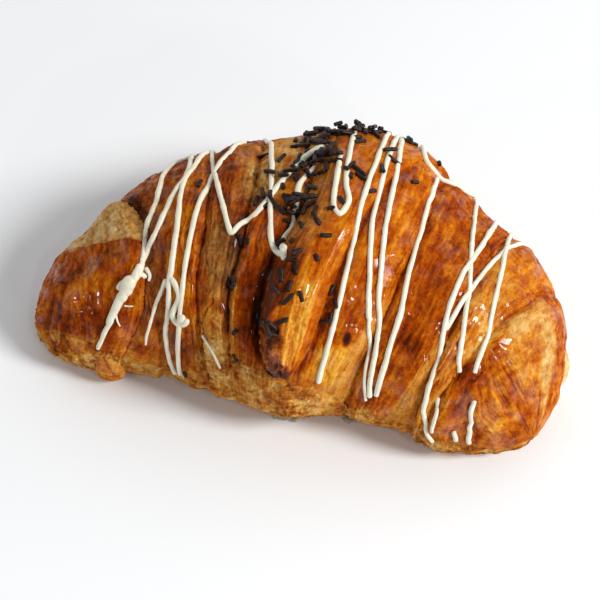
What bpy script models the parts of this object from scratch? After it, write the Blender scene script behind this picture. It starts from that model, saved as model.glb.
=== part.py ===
"""White chocolate croissant: rolled dough, drizzled strands and chocolate sprinkles, one solid.

The croissant lies on its flat base. +X runs along its length, -Y is the side with the
crescent's two ends and the tip of the roll, and +Z is up. The origin is under its middle.
Sizes are in millimetres. A place on the dough is given as how far along the roll it lies and
its angle round the roll: 0 degrees faces the front, 90 up and 180 the back.
"""

import math
import random

import bmesh
import bpy
from mathutils import Matrix, Vector, noise
from mathutils.bvhtree import BVHTree

MM = 0.001  # metres in a millimetre

# The roll's cross-sections: where each one's centre lies, how far it is turned about the
# vertical, its half width and its height.
SECTIONS = (
    # along, x, y, turn, half width, height
    (-91, -88.5, -28.5, -10, 16, 20),
    (-80, -79, -26.5, -16, 19.2, 28.5),
    (-70, -69, -23.8, -22, 22.8, 35.5),
    (-57, -57, -17, -27, 29.5, 44.5),
    (-34, -34, -8.2, -14, 42, 55.5),
    (-19, -19, -4.2, -6, 47.5, 59),
    (5, 5, -1, 2, 50.8, 61.5),
    (22, 22, -1.8, 8, 48.8, 61),
    (33, 33, -5.0, 13, 44.5, 56.5),
    (42, 42, -9.2, 16, 40.5, 52.5),
    (54, 54, -13.2, 19, 37.8, 50.5),
    (67, 62.8, -20.8, 30, 33.8, 45),
    (80, 72.3, -29, 34, 26.3, 37),
    (91, 80.3, -38, 38, 17.8, 25),
)
MIDDLE = (-0.5, -1.7)  # of the croissant's outline, in the x and y of the sections
WIDEST_AT = 0.31  # height of a section's widest point, as a share of its height
UNDERSIDE = 1.3  # how far below the floor a section would curve if the base didn't cut it

# The free edges of the wraps of dough. Every edge faces the nearer end of the roll, and
# slopes out over the wrap below, most at the foot of the front where the layers show.
KEY_ANGLES = (0, 45, 90, 140)
SEAMS = (
    # along at each of those angles, side it faces, slope in front, slope elsewhere
    ((-66, -56, -52, -57), -1, 3.0, 2.0),
    ((-34, -36, -33, -32), -1, 2.5, 2.0),
    ((-18, -22, -19, -20), -1, 2.5, 2.0),
    ((31, 35, 34, 29), 1, 10.0, 2.0),
    ((63, 58, 54, 52), 1, 17.0, 2.0),
    ((67, 70, 69, 68), 1, 2.5, 2.0),
)
SEAM_PROFILE = ((0.0, 1.0), (0.35, 0.5), (1.0, 0.0))  # share of the slope, share of the step
SLOPE_FADES_AT = 65
STEP = 0.08  # depth of the crease under a free edge, as a share of the section
BELLY_STEP = 0.3  # how much of that is left at the foot of the front
BACK_STEP = 0.6  # and low at the back
SWELL = (0.02, 0.03, 0.015, 0.025, 0.03, 0.025, 0.02)  # of each wrap between two seams
RING_GAP = 7.0  # between the rings of points across a wrap
RING_POINTS = 36
END_ROUNDING = ((0.8, 0.40), (3.5, 0.68), (8.0, 0.87), (14.0, 0.97))  # from the end, size
SLOW_LUMPS = (0.03, 24)  # how far the dough swells and sinks, and over how many mm
QUICK_LUMPS = (0.012, 8)

# The flap folded over the left end, whose back edge runs along the roll.
EAR_SPAN = (-88, -52)
EAR_EDGE_ANGLE = 90
EAR_RISE = 0.09

# The tip of the roll, laid over the middle from under the back down to the front.
TONGUE = (
    # angle, left edge, right edge, rise above the wrap below, where its top begins
    (20, 1, 7, 2.5, 0.16),
    (24, -3, 10, 5.0, 0.16),
    (31, -6, 12.5, 6.5, 0.16),
    (40, -8, 14, 6.5, 0.16),
    (52, -8, 14.5, 5.8, 0.19),
    (66, -6, 15.5, 4.8, 0.26),
    (82, -2, 17.5, 3.8, 0.28),
    (105, -2, 20, 2.8, 0.26),
    (128, -5, 24, 2.0, 0.24),
    (152, -9, 28, 1.4, 0.24),
    (172, -11, 30, 0.8, 0.24),
    (192, -12, 31, 0.4, 0.24),
)
TONGUE_WALL = ((0.05, 0.25), (0.5, 0.7), (1.0, 1.0))  # share of the way to its top, rise
TONGUE_TOP = ((0.45, 0.97), (0.8, 0.7), (0.97, 0.2))  # share of the way to its right edge, rise
TONGUE_UNDERSIDE = (0.98, 0.5, 0.02)
TONGUE_SUNK = 4.0  # how deep its underside lies in the wrap below

# The rolled-up knob under the left end and the bare flap behind the right end.
BULBS = (
    # centre, half sizes, turn
    ((-57.5, -43.3, 8.5), (6.2, 5.3, 8.8), 0),
    ((82.6, -9.5, 9.5), (4.8, 7.5, 11.0), 25),
)

# White chocolate strands: each one's width and the places that it runs through.
STRANDS = (
    (2.0, ((-36, 162), (-39, 146), (-44, 128), (-47, 104), (-51, 88), (-55, 64), (-58, 56))),
    (3.4, ((-56, 63), (-59, 55), (-63, 46), (-67, 32), (-70, 17))),
    (2.0, ((-33, 152), (-37, 118), (-42, 102), (-47, 86), (-51, 76), (-55, 66))),
    (2.0, ((-38, 150), (-38, 122), (-40, 103), (-42, 80), (-45, 60), (-44, 48), (-43, 37))),
    (2.0, ((-25, 140), (-32, 106), (-36, 84), (-40, 60), (-43, 40), (-46, 15), (-46, -3))),
    (3.6, ((-44, 40), (-42, 36))),
    (1.9, ((-47, 54), (-48, 42), (-50, 26), (-50, 10), (-48, -3))),
    (1.4, ((-48, 54), (-53, 40), (-57, 25), (-58, 18))),
    (2.0, ((-34, 158), (-31, 106), (-24, 73), (-21, 78), (-17, 81), (-13, 90), (-6, 108))),
    (1.9, ((-22, 160), (-15, 104), (-12, 82), (-9, 68), (-4, 64))),
    (2.0, ((-3, 62), (-6, 72), (-4, 76), (-5, 94), (-2, 104))),
    (4.0, ((-7, 106), (-4, 112), (-1, 114))),
    (3.4, ((-6, 68), (-3, 66))),
    (2.0, ((1, 160), (6, 112), (9, 93), (12, 86), (11, 80), (8, 83), (6, 94), (4, 108))),
    (1.9, ((10, 166), (14, 116), (16, 86), (19, 58), (20, 36), (19, 16))),
    (2.0, ((14, 150), (17, 112), (21, 82), (27, 62), (30, 52))),
    (1.4, ((30, 52), (32, 47), (35, 37), (37, 24), (39, 12))),
    (2.0, ((12, 162), (20, 112), (25, 84), (31, 61), (37, 41), (40, 15))),
    (2.0, ((36, 152), (34, 136), (29, 131), (25, 129), (22, 138), (20, 154))),
    (2.1, ((29, 128), (32, 104), (36, 79), (40, 56), (42, 31), (42, 17))),
    (1.8, ((36, 158), (44, 118), (50, 95), (57, 76), (64, 64), (70, 52))),
    (2.0, ((44, 164), (49, 112), (50, 84), (54, 58), (62, 36), (68, 12), (73, 0))),
    (1.9, ((58, 160), (55, 124), (54, 96), (54, 74), (54, 60))),
    (1.8, ((49, 160), (55, 118), (62, 94), (69, 78), (74, 58))),
    (1.6, ((68, 34), (71, 24), (72, 10))),
    (2.0, ((78, 46), (80, 31), (82, 6))),
    (1.9, ((77, 16), (79, 6))),
    (1.4, ((-34, 29), (-29, 23), (-24, 15))),
)
STRAND_GAP = 8.0  # between the points of a strand
STRAND_LIFT = 0.15  # of its width, from the dough to its middle
DEGREE = 0.85  # length of a degree round the roll

# Chocolate sprinkles: where they fell thickest, how far they spread and how many.
SPRINKLE_FALLS = (
    # along, angle, spread along, spread in angle, count
    (-3, 103, 6, 8, 24),
    (5, 132, 9, 8, 12),
    (-5, 76, 8, 9, 15),
    (7, 54, 8, 9, 9),
    (-3, 38, 4, 6, 5),
    (14, 105, 6, 14, 4),
)
STRAY_SPRINKLES = ((-35, 102), (-18, 70), (-19, 118), (-22, 52), (-18, 34), (-18, 22), (-43, 3))
SPRINKLE_WIDTH = 1.5
SPRINKLE_LENGTHS = (2.2, 5.6)
SPRINKLE_SIDES = 5
SPRINKLE_SUNK = 0.35
HEAPED = 1.1  # how far a sprinkle that meets others lies above them
SEED = 7

# sRGB hex colour and roughness
CRUST = ("B4651E", 0.35)
WHITE_CHOCOLATE = ("F2EBD3", 0.4)
DARK_CHOCOLATE = ("33211B", 0.45)


def blend(low, high, share):
    """The value that lies that share of the way from low to high."""
    return low + (high - low) * share


def eased(share):
    """A share from 0 to 1, made smooth at both ends."""
    share = min(max(share, 0.0), 1.0)
    return share * share * (3 - 2 * share)


def curved(rows, key, column):
    """The column's value at that key, curving smoothly between the rows."""
    last = len(rows) - 1
    i = next((k for k in range(last) if key < rows[k + 1][0]), last - 1)
    before, start, end, after = (rows[min(max(i + k, 0), last)] for k in (-1, 0, 1, 2))
    span = end[0] - start[0]
    t = (key - start[0]) / span
    leave = (end[column] - before[column]) / (end[0] - before[0]) * span
    reach = (after[column] - start[column]) / (after[0] - start[0]) * span
    return (
        start[column] * (2 * t**3 - 3 * t**2 + 1)
        + leave * (t**3 - 2 * t**2 + t)
        + end[column] * (3 * t**2 - 2 * t**3)
        + reach * (t**3 - t**2)
    )


def place(along, angle, size, rise_by=0.0):
    """The point at that angle, in radians, of a section of that size, raised by some mm."""
    x, y, turn, half_width, height = (curved(SECTIONS, along, k) for k in range(1, 6))
    middle = WIDEST_AT * height
    across = -math.cos(angle) * (half_width * size + rise_by)
    rise = math.sin(angle)
    if rise >= 0:
        z = middle + ((height - middle) * size + rise_by) * rise
    else:
        z = middle + middle * UNDERSIDE * rise * size
    turn = math.radians(turn)
    x += across * math.sin(turn) - MIDDLE[0]
    y += across * math.cos(turn) - MIDDLE[1]
    return Vector((x, y, max(z, 0.0)))


def crease_share(angle):
    """How much of a crease shows at that angle, in degrees."""
    front = blend(BELLY_STEP, 1.0, eased((angle + 10) / 45))
    return front * blend(1.0, BACK_STEP, eased((angle - 110) / 40))


def seam_rings(seam):
    """The foot, the slope and the top of a free edge, as (places, size, step) rows."""
    line, side, slope_front, slope = seam
    rows = []
    for share, step in SEAM_PROFILE:
        places = []
        for angle, along in zip(KEY_ANGLES, line):
            reach = blend(slope, slope_front, eased(1 - angle / SLOPE_FADES_AT))
            places.append(along - side * share * reach)
        rows.append((places, 1.0, step))
    return rows if side < 0 else rows[::-1]


def wrap_rings(start, end, swell):
    """The rings across one wrap, which swells between its two edges."""
    width = max(b - a for a, b in zip(start[0], end[0]))
    count = max(2, round(width / RING_GAP))
    rows = []
    for k in range(1, count):
        share = k / count
        places = [blend(a, b, share) for a, b in zip(start[0], end[0])]
        crown = math.sin(math.pi * share) ** 0.7
        rows.append((places, 1.0 + swell * crown, 0.0))
    return rows


def end_rings(side):
    """The rings that close one end of the roll, from its tip inwards."""
    end = SECTIONS[0][0] if side < 0 else SECTIONS[-1][0]
    return [([end - side * inward] * len(KEY_ANGLES), size, 0.0) for inward, size in END_ROUNDING]


def roll_rings():
    """Every ring of the roll, from its left end to its right."""
    rows = end_rings(-1)
    for seam, swell in zip(SEAMS, SWELL):
        edge = seam_rings(seam)
        rows += wrap_rings(rows[-1], edge[0], swell)
        rows += edge
    right = end_rings(1)[::-1]
    rows += wrap_rings(rows[-1], right[0], SWELL[-1])
    return rows + right


def ear(along, angle):
    """How much thicker the left end is where its flap covers it, at an angle in degrees."""
    start, end = EAR_SPAN
    reach = eased((along - start) / 8) * eased((end - along) / 4)
    return EAR_RISE * reach * eased((EAR_EDGE_ANGLE - angle) / 10)


def lumps(along, angle):
    """The swelling of the dough there, as a share of its size."""
    total = 0.0
    for number, (depth, width) in enumerate((SLOW_LUMPS, QUICK_LUMPS)):
        girth = 40 / width
        spot = Vector((along / width, math.cos(angle) * girth, math.sin(angle) * girth))
        total += depth * noise.noise(spot + Vector((0, 0, number * 5.5)))
    return total


def ring_points(row):
    """The points of one ring, from below the front, over the top and down the back."""
    places, size, step = row
    keys = list(zip(KEY_ANGLES, places))
    points = []
    for number in range(RING_POINTS):
        angle = 360 * number / RING_POINTS - 90
        along = curved(keys, min(max(angle, KEY_ANGLES[0]), KEY_ANGLES[-1]), 1)
        turn = math.radians(angle)
        grown = size - STEP * step * crease_share(angle) + ear(along, angle)
        points.append(place(along, turn, grown + lumps(along, turn) * size))
    return points


def tongue_rings():
    """The rings of the tongue, from its tip at the front to where it ends under the back."""
    size = 1.0 + SWELL[3]
    rings = []
    for angle, left, right, rise, wall in TONGUE:
        turn = math.radians(angle)
        ring = []
        rising = [(across * wall, share) for across, share in TONGUE_WALL]
        level = [(blend(wall, 1.0, across), share) for across, share in TONGUE_TOP]
        for across, share in rising + level:
            along = blend(left, right, across)
            ring.append(place(along, turn, size + lumps(along, turn), rise * share))
        for across in TONGUE_UNDERSIDE:
            ring.append(place(blend(left, right, across), turn, size, -TONGUE_SUNK))
        rings.append(ring)
    return rings


def finished(name, mesh, material):
    """An object made of that mesh, in triangles that face outwards."""
    bmesh.ops.triangulate(mesh, faces=mesh.faces[:])
    bmesh.ops.recalc_face_normals(mesh, faces=mesh.faces[:])
    data = bpy.data.meshes.new(name)
    mesh.to_mesh(data)
    mesh.free()
    data.materials.append(material)
    return bpy.data.objects.new(name, data)


def lofted(name, rings, material):
    """A closed object through rings of equally many points, with a cap at each end."""
    mesh = bmesh.new()
    rows = [[mesh.verts.new(point * MM) for point in points] for points in rings]
    for first, second in zip(rows, rows[1:]):
        for k in range(len(first)):
            n = (k + 1) % len(first)
            mesh.faces.new((first[k], first[n], second[n], second[k]))
    mesh.faces.new(rows[0])
    mesh.faces.new(rows[-1])
    return finished(name, mesh, material)


def bulb(centre, half_sizes, turn, material):
    """A rounded swelling of dough that is cut flat by the floor."""
    x, y, z = centre
    middle = Vector((x - MIDDLE[0], y - MIDDLE[1], z)) * MM
    shape = (
        Matrix.Translation(middle)
        @ Matrix.Rotation(math.radians(turn), 4, "Z")
        @ Matrix.Diagonal(Vector(half_sizes) * MM).to_4x4()
    )
    mesh = bmesh.new()
    bmesh.ops.create_uvsphere(mesh, u_segments=14, v_segments=9, radius=1.0, matrix=shape)
    for vert in mesh.verts:
        vert.co.z = max(vert.co.z, 0.0)
    return finished("bulb", mesh, material)


def surface_of(objects):
    """What a strand or a sprinkle can be laid on."""
    verts, faces = [], []
    for piece in objects:
        start = len(verts)
        verts += [vert.co.copy() for vert in piece.data.vertices]
        faces += [[start + k for k in face.vertices] for face in piece.data.polygons]
    return BVHTree.FromPolygons(verts, faces)


def laid(surface, along, angle, lift):
    """Where the surface lies at that place, lifted by some mm, and its outward direction."""
    turn = math.radians(angle)
    outside, inside = place(along, turn, 1.5) * MM, place(along, turn, 0.4) * MM
    spot, normal, _, _ = surface.ray_cast(outside, inside - outside)
    return spot + normal * lift * MM, normal


def along_strand(route):
    """Evenly spaced places on a smooth line through the strand's own."""
    steps = [math.hypot(b[0] - a[0], (b[1] - a[1]) * DEGREE) for a, b in zip(route, route[1:])]
    run = [sum(steps[:k]) for k in range(len(route))]
    rows = [(at, *spot) for at, spot in zip(run, route)]
    count = max(1, round(run[-1] / STRAND_GAP))
    marks = [run[-1] * k / count for k in range(count + 1)]
    return [(curved(rows, mark, 1), curved(rows, mark, 2)) for mark in marks]


def strand(surface, width, route, material):
    """One drizzled strand, as a tube half sunk in the dough."""
    spots = [laid(surface, *spot, width * STRAND_LIFT)[0] for spot in along_strand(route)]
    data = bpy.data.curves.new("strand", "CURVE")
    data.dimensions = "3D"
    data.bevel_depth = width / 2 * MM
    data.bevel_resolution = 0
    data.use_fill_caps = True
    data.materials.append(material)
    line = data.splines.new("POLY")
    line.points.add(len(spots) - 1)
    for point, spot in zip(line.points, spots):
        point.co = (*spot, 1)
    return as_mesh(bpy.data.objects.new("strand", data))


def as_mesh(curve):
    """The curve as a closed mesh object, in place of the curve."""
    bpy.context.scene.collection.objects.link(curve)
    graph = bpy.context.evaluated_depsgraph_get()
    data = bpy.data.meshes.new_from_object(curve.evaluated_get(graph))
    mesh = bmesh.new()
    mesh.from_mesh(data)
    bmesh.ops.remove_doubles(mesh, verts=mesh.verts, dist=0.00001)
    mesh.to_mesh(data)
    mesh.free()
    made = bpy.data.objects.new(curve.name, data)
    made.matrix_world = curve.matrix_world
    bpy.data.objects.remove(curve)
    return made


def sprinkle_places(draw):
    """Where each sprinkle fell."""
    places = list(STRAY_SPRINKLES)
    for along, angle, spread_along, spread_angle, count in SPRINKLE_FALLS:
        for _ in range(count):
            places.append((draw.gauss(along, spread_along), draw.gauss(angle, spread_angle)))
    return places


def sprinkles(surface, material):
    """All the sprinkles, each a short rod lying flat on what is under it."""
    draw = random.Random(SEED)
    radius = SPRINKLE_WIDTH / 2
    mesh = bmesh.new()
    lying = []
    for along, angle in sprinkle_places(draw):
        spot, normal = laid(surface, along, angle, radius - SPRINKLE_SUNK)
        if any((spot - other).length < SPRINKLE_WIDTH * MM for other in lying):
            spot += normal * HEAPED * MM
        lying.append(spot)
        heading = Matrix.Rotation(draw.uniform(0, math.pi), 4, normal)
        level = heading @ normal.orthogonal().normalized()
        turned = level.to_track_quat("Z", "Y").to_matrix().to_4x4()
        bmesh.ops.create_cone(
            mesh,
            cap_ends=True,
            segments=SPRINKLE_SIDES,
            radius1=radius * MM,
            radius2=radius * MM,
            depth=draw.uniform(*SPRINKLE_LENGTHS) * MM,
            matrix=Matrix.Translation(spot) @ turned,
        )
    return finished("sprinkles", mesh, material)


def keep_outside(data):
    """Keeps the mesh's largest shell: sealed hollows are filled and loose scraps dropped."""
    mesh = bmesh.new()
    mesh.from_mesh(data)
    unseen = set(mesh.verts)
    shells = []
    while unseen:
        shell, edge = set(), [unseen.pop()]
        while edge:
            vert = edge.pop()
            shell.add(vert)
            near = {link.other_vert(vert) for link in vert.link_edges} & unseen
            unseen -= near
            edge += near
        shells.append(shell)
    largest = max(shells, key=len)
    bmesh.ops.delete(mesh, geom=[vert for vert in mesh.verts if vert not in largest])
    mesh.to_mesh(data)
    mesh.free()


def new_collection(name):
    """A new collection of the scene."""
    made = bpy.data.collections.new(name)
    bpy.context.scene.collection.children.link(made)
    return made


def fuse(roll, toppings):
    """Joins everything into the roll, as one solid."""
    new_collection("white_chocolate_croissant").objects.link(roll)
    cutters = new_collection("cutters")
    for piece in toppings:
        piece.hide_render = True
        piece.display_type = "WIRE"
        cutters.objects.link(piece)
    union = roll.modifiers.new("fused", "BOOLEAN")
    union.operation = "UNION"
    union.operand_type = "COLLECTION"
    union.collection = cutters
    graph = bpy.context.evaluated_depsgraph_get()
    joined = bpy.data.meshes.new_from_object(roll.evaluated_get(graph))
    roll.modifiers.clear()
    roll.data = joined
    keep_outside(joined)
    for piece in toppings:
        bpy.data.objects.remove(piece)
    bpy.data.collections.remove(cutters)


def linear(channel):
    """A colour channel as light, from its sRGB value."""
    return channel / 12.92 if channel <= 0.04045 else ((channel + 0.055) / 1.055) ** 2.4


def painted(name, colour, roughness):
    """A plain Principled material of that sRGB hex colour."""
    material = bpy.data.materials.new(name)
    material.use_nodes = True
    shader = material.node_tree.nodes["Principled BSDF"]
    channels = [linear(int(colour[k : k + 2], 16) / 255) for k in (0, 2, 4)]
    shader.inputs["Base Color"].default_value = (*channels, 1)
    shader.inputs["Roughness"].default_value = roughness
    shader.inputs["Metallic"].default_value = 0
    return material


def main():
    for old in list(bpy.data.objects):
        bpy.data.objects.remove(old)
    crust = painted("crust", *CRUST)
    white = painted("white_chocolate", *WHITE_CHOCOLATE)
    dark = painted("dark_chocolate", *DARK_CHOCOLATE)
    roll = lofted("croissant", [ring_points(row) for row in roll_rings()], crust)
    tongue = lofted("tongue", tongue_rings(), crust)
    bulbs = [bulb(*row, crust) for row in BULBS]
    dough = surface_of([roll, tongue])
    strands = [strand(dough, *row, white) for row in STRANDS]
    topped = surface_of([roll, tongue, *strands])
    fuse(roll, [tongue, *bulbs, *strands, sprinkles(topped, dark)])
    roll.data.shade_smooth()
    roll.data.set_sharp_from_angle(angle=math.radians(40))


main()
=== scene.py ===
"""White chocolate croissant: its crust, glaze, white chocolate strands and sprinkles.

Sizes are in millimetres until a mesh is made of them. A place on the dough is given as how far
along the roll it lies and its angle round the roll: 0 degrees faces the front, 90 up and 180
the back.
"""

import math
import random
from itertools import product
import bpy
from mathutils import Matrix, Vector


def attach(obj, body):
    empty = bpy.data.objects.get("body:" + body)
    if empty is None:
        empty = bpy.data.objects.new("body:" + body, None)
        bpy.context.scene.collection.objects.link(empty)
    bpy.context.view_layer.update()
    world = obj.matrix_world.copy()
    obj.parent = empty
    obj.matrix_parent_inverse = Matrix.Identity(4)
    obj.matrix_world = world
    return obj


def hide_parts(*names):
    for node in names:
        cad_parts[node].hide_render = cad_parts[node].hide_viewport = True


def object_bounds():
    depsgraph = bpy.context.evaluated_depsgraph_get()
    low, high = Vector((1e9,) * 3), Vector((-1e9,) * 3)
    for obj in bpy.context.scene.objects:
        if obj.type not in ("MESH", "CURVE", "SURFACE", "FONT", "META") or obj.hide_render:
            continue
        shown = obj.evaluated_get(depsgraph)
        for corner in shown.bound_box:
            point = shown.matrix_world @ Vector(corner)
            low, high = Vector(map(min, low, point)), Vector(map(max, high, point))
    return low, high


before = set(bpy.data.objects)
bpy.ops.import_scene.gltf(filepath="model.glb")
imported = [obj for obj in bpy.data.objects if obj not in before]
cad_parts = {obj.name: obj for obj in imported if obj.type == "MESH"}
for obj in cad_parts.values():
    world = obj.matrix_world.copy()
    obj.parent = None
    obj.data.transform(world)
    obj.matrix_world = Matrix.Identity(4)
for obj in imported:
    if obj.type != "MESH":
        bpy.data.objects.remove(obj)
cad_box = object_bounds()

from types import SimpleNamespace

import bpy
import numpy as np
from mathutils import Matrix, Vector, noise
from mathutils.bvhtree import BVHTree

MM = 0.001  # metres in a millimetre
DEGREE = 0.85  # length of a degree round the roll
BOX_MARGIN = 0.02  # how far inside the solid's box every piece stays
NOISE_GAIN = 1.7  # widens the noise to about -1 to 1

# The roll's cross-sections, as the solid has them.
SECTIONS = (
    # along, x, y, turn, half width, height
    (-91, -88.5, -28.5, -10, 16, 20),
    (-80, -79, -26.5, -16, 19.2, 28.5),
    (-70, -69, -23.8, -22, 22.8, 35.5),
    (-57, -57, -17, -27, 29.5, 44.5),
    (-34, -34, -8.2, -14, 42, 55.5),
    (-19, -19, -4.2, -6, 47.5, 59),
    (5, 5, -1, 2, 50.8, 61.5),
    (22, 22, -1.8, 8, 48.8, 61),
    (33, 33, -5.0, 13, 44.5, 56.5),
    (42, 42, -9.2, 16, 40.5, 52.5),
    (54, 54, -13.2, 19, 37.8, 50.5),
    (67, 62.8, -20.8, 30, 33.8, 45),
    (80, 72.3, -29, 34, 26.3, 37),
    (91, 80.3, -38, 38, 17.8, 25),
)
MIDDLE = (-0.5, -1.7)  # what lies at the origin
WIDEST_AT = 0.31  # share of the height at which a section is widest
UNDERSIDE = 1.3  # depth below that, as a share of its own height; the floor cuts it off
KEY_ANGLES = (0, 45, 90, 140)
SEAMS = (
    # along at each of those angles, side it faces, slope in front, slope elsewhere
    ((-66, -56, -52, -57), -1, 3.0, 2.0),
    ((-34, -36, -33, -32), -1, 2.5, 2.0),
    ((-18, -22, -19, -20), -1, 2.5, 2.0),
    ((31, 35, 34, 29), 1, 10.0, 2.0),
    ((63, 58, 54, 52), 1, 17.0, 2.0),
    ((67, 70, 69, 68), 1, 2.5, 2.0),
)
SLOPE_FADES_AT = 65  # angle above which a free edge is as steep as elsewhere
STEP = 0.08  # height of a free edge, as a share of the section
BELLY_STEP, BACK_STEP = 0.3, 0.6  # shares of it that are left low in front and at the back
SWELL = (0.02, 0.03, 0.015, 0.025, 0.03, 0.025, 0.02)  # of each wrap in its middle
END_ROUNDING = ((0.8, 0.40), (3.5, 0.68), (8.0, 0.87), (14.0, 0.97))  # mm from the tip, size
END_LENGTH = 14.0  # over which an end is rounded off
LUMPS = ((0.03, 24), (0.012, 8))  # depth as a share of the size, width
GIRTH = 40  # radius of the roll that the lumps are spaced round
EAR_SPAN = (-88, -52)  # the flap folded over the left end
EAR_EDGE = ((-82, 124), (-74, 108), (-65, 93), (-53, 80))  # along, angle of its back edge
EAR_RISE = 0.09

# The fine mesh of the roll.
WRAP_NAMES = (
    "left_end", "left_wrap_b", "left_wrap_a", "middle_wrap", "right_wrap_a", "right_wrap_b",
    "right_end",
)
MIDDLE_WRAP = WRAP_NAMES.index("middle_wrap")
RIGHT_END = WRAP_NAMES.index("right_end")
ROW_GAP = 0.5  # between the rings of points across a wrap
SEAM_ROWS = 18  # rings from the foot of a free edge to its top, and more on a wide slope
TOP_POINTS, BASE_POINTS = 500, 50  # points of a ring above the base and under it
BASE_ANGLES = (210, 330)
DIP = 5.0  # how far from a crease the wrap below starts to sink into it
SINKS = 0.75  # and how far it sinks, as a share of the step
EDGE_PROFILE = (
    # share of the slope, how far under the edge, share of the step
    (0.0, 1.5, 1.20),
    (0.0, 0.6, 1.05),
    (0.0, 0.0, 0.70),
    (0.03, 0.0, 0.46),
    (0.35, 0.0, 0.30),
    (0.7, 0.0, 0.08),
    (1.0, 0.0, 0.0),
)
TUCKED = ((2.0, 0.96), (4.5, 0.85), (5.5, 0.5), (5.5, 0.15))  # past a crease, size
FLOOR_CALMS = 3.0  # height above the floor over which the relief sets in
GLAZE_REACH = 3  # points over which the glaze evens out the crust under it

TONGUE = (
    # angle, left edge, right edge, rise above the wrap below, where its top begins
    (20, 1, 7, 2.5, 0.16),
    (24, -3, 10, 5.0, 0.16),
    (31, -6, 12.5, 6.5, 0.16),
    (40, -8, 14, 6.5, 0.16),
    (52, -8, 14.5, 5.8, 0.19),
    (66, -6, 15.5, 4.8, 0.26),
    (82, -2, 17.5, 3.8, 0.28),
    (105, -2, 20, 2.8, 0.26),
    (128, -5, 24, 2.0, 0.24),
    (152, -9, 28, 1.4, 0.24),
    (172, -11, 30, 0.8, 0.24),
    (192, -12, 31, 0.4, 0.24),
)
TONGUE_WALL = ((0, 0), (0.05, 0.25), (0.5, 0.7), (1.0, 1.0))  # share of the wall, of the rise
TONGUE_TOP = ((0, 1.0), (0.45, 0.97), (0.8, 0.7), (0.97, 0.2), (1.0, 0.0))
TONGUE_WIDTH = 18.0
TONGUE_SUNK = 4.0  # how far its underside lies in the dough below
TONGUE_TIP = 8.0  # over how many degrees its torn end is ragged
TONGUE_POINTS = (36, 70, 12)  # of a ring, on its wall, its top and its underside
TONGUE_FADES = (145, 30, 3.0)  # from that angle, over so many degrees, it sinks by so many mm

# The rolled-up knob under the left end and the bare flap behind the right end.
BULBS = {
    # centre, half sizes, turn, browning, warmth, gloss, where its fold lies
    "knob": ((-57.5, -43.3, 8.5), (6.2, 5.3, 8.8), 0, 0.44, 0.85, 0.6, 0.35),
    "bare_flap": ((82.6, -9.5, 9.5), (4.8, 7.5, 11.0), 25, 0.16, 0.15, 0.2, 0.95),
}
BULB_POINTS = (90, 150)  # rings, and points of a ring

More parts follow.
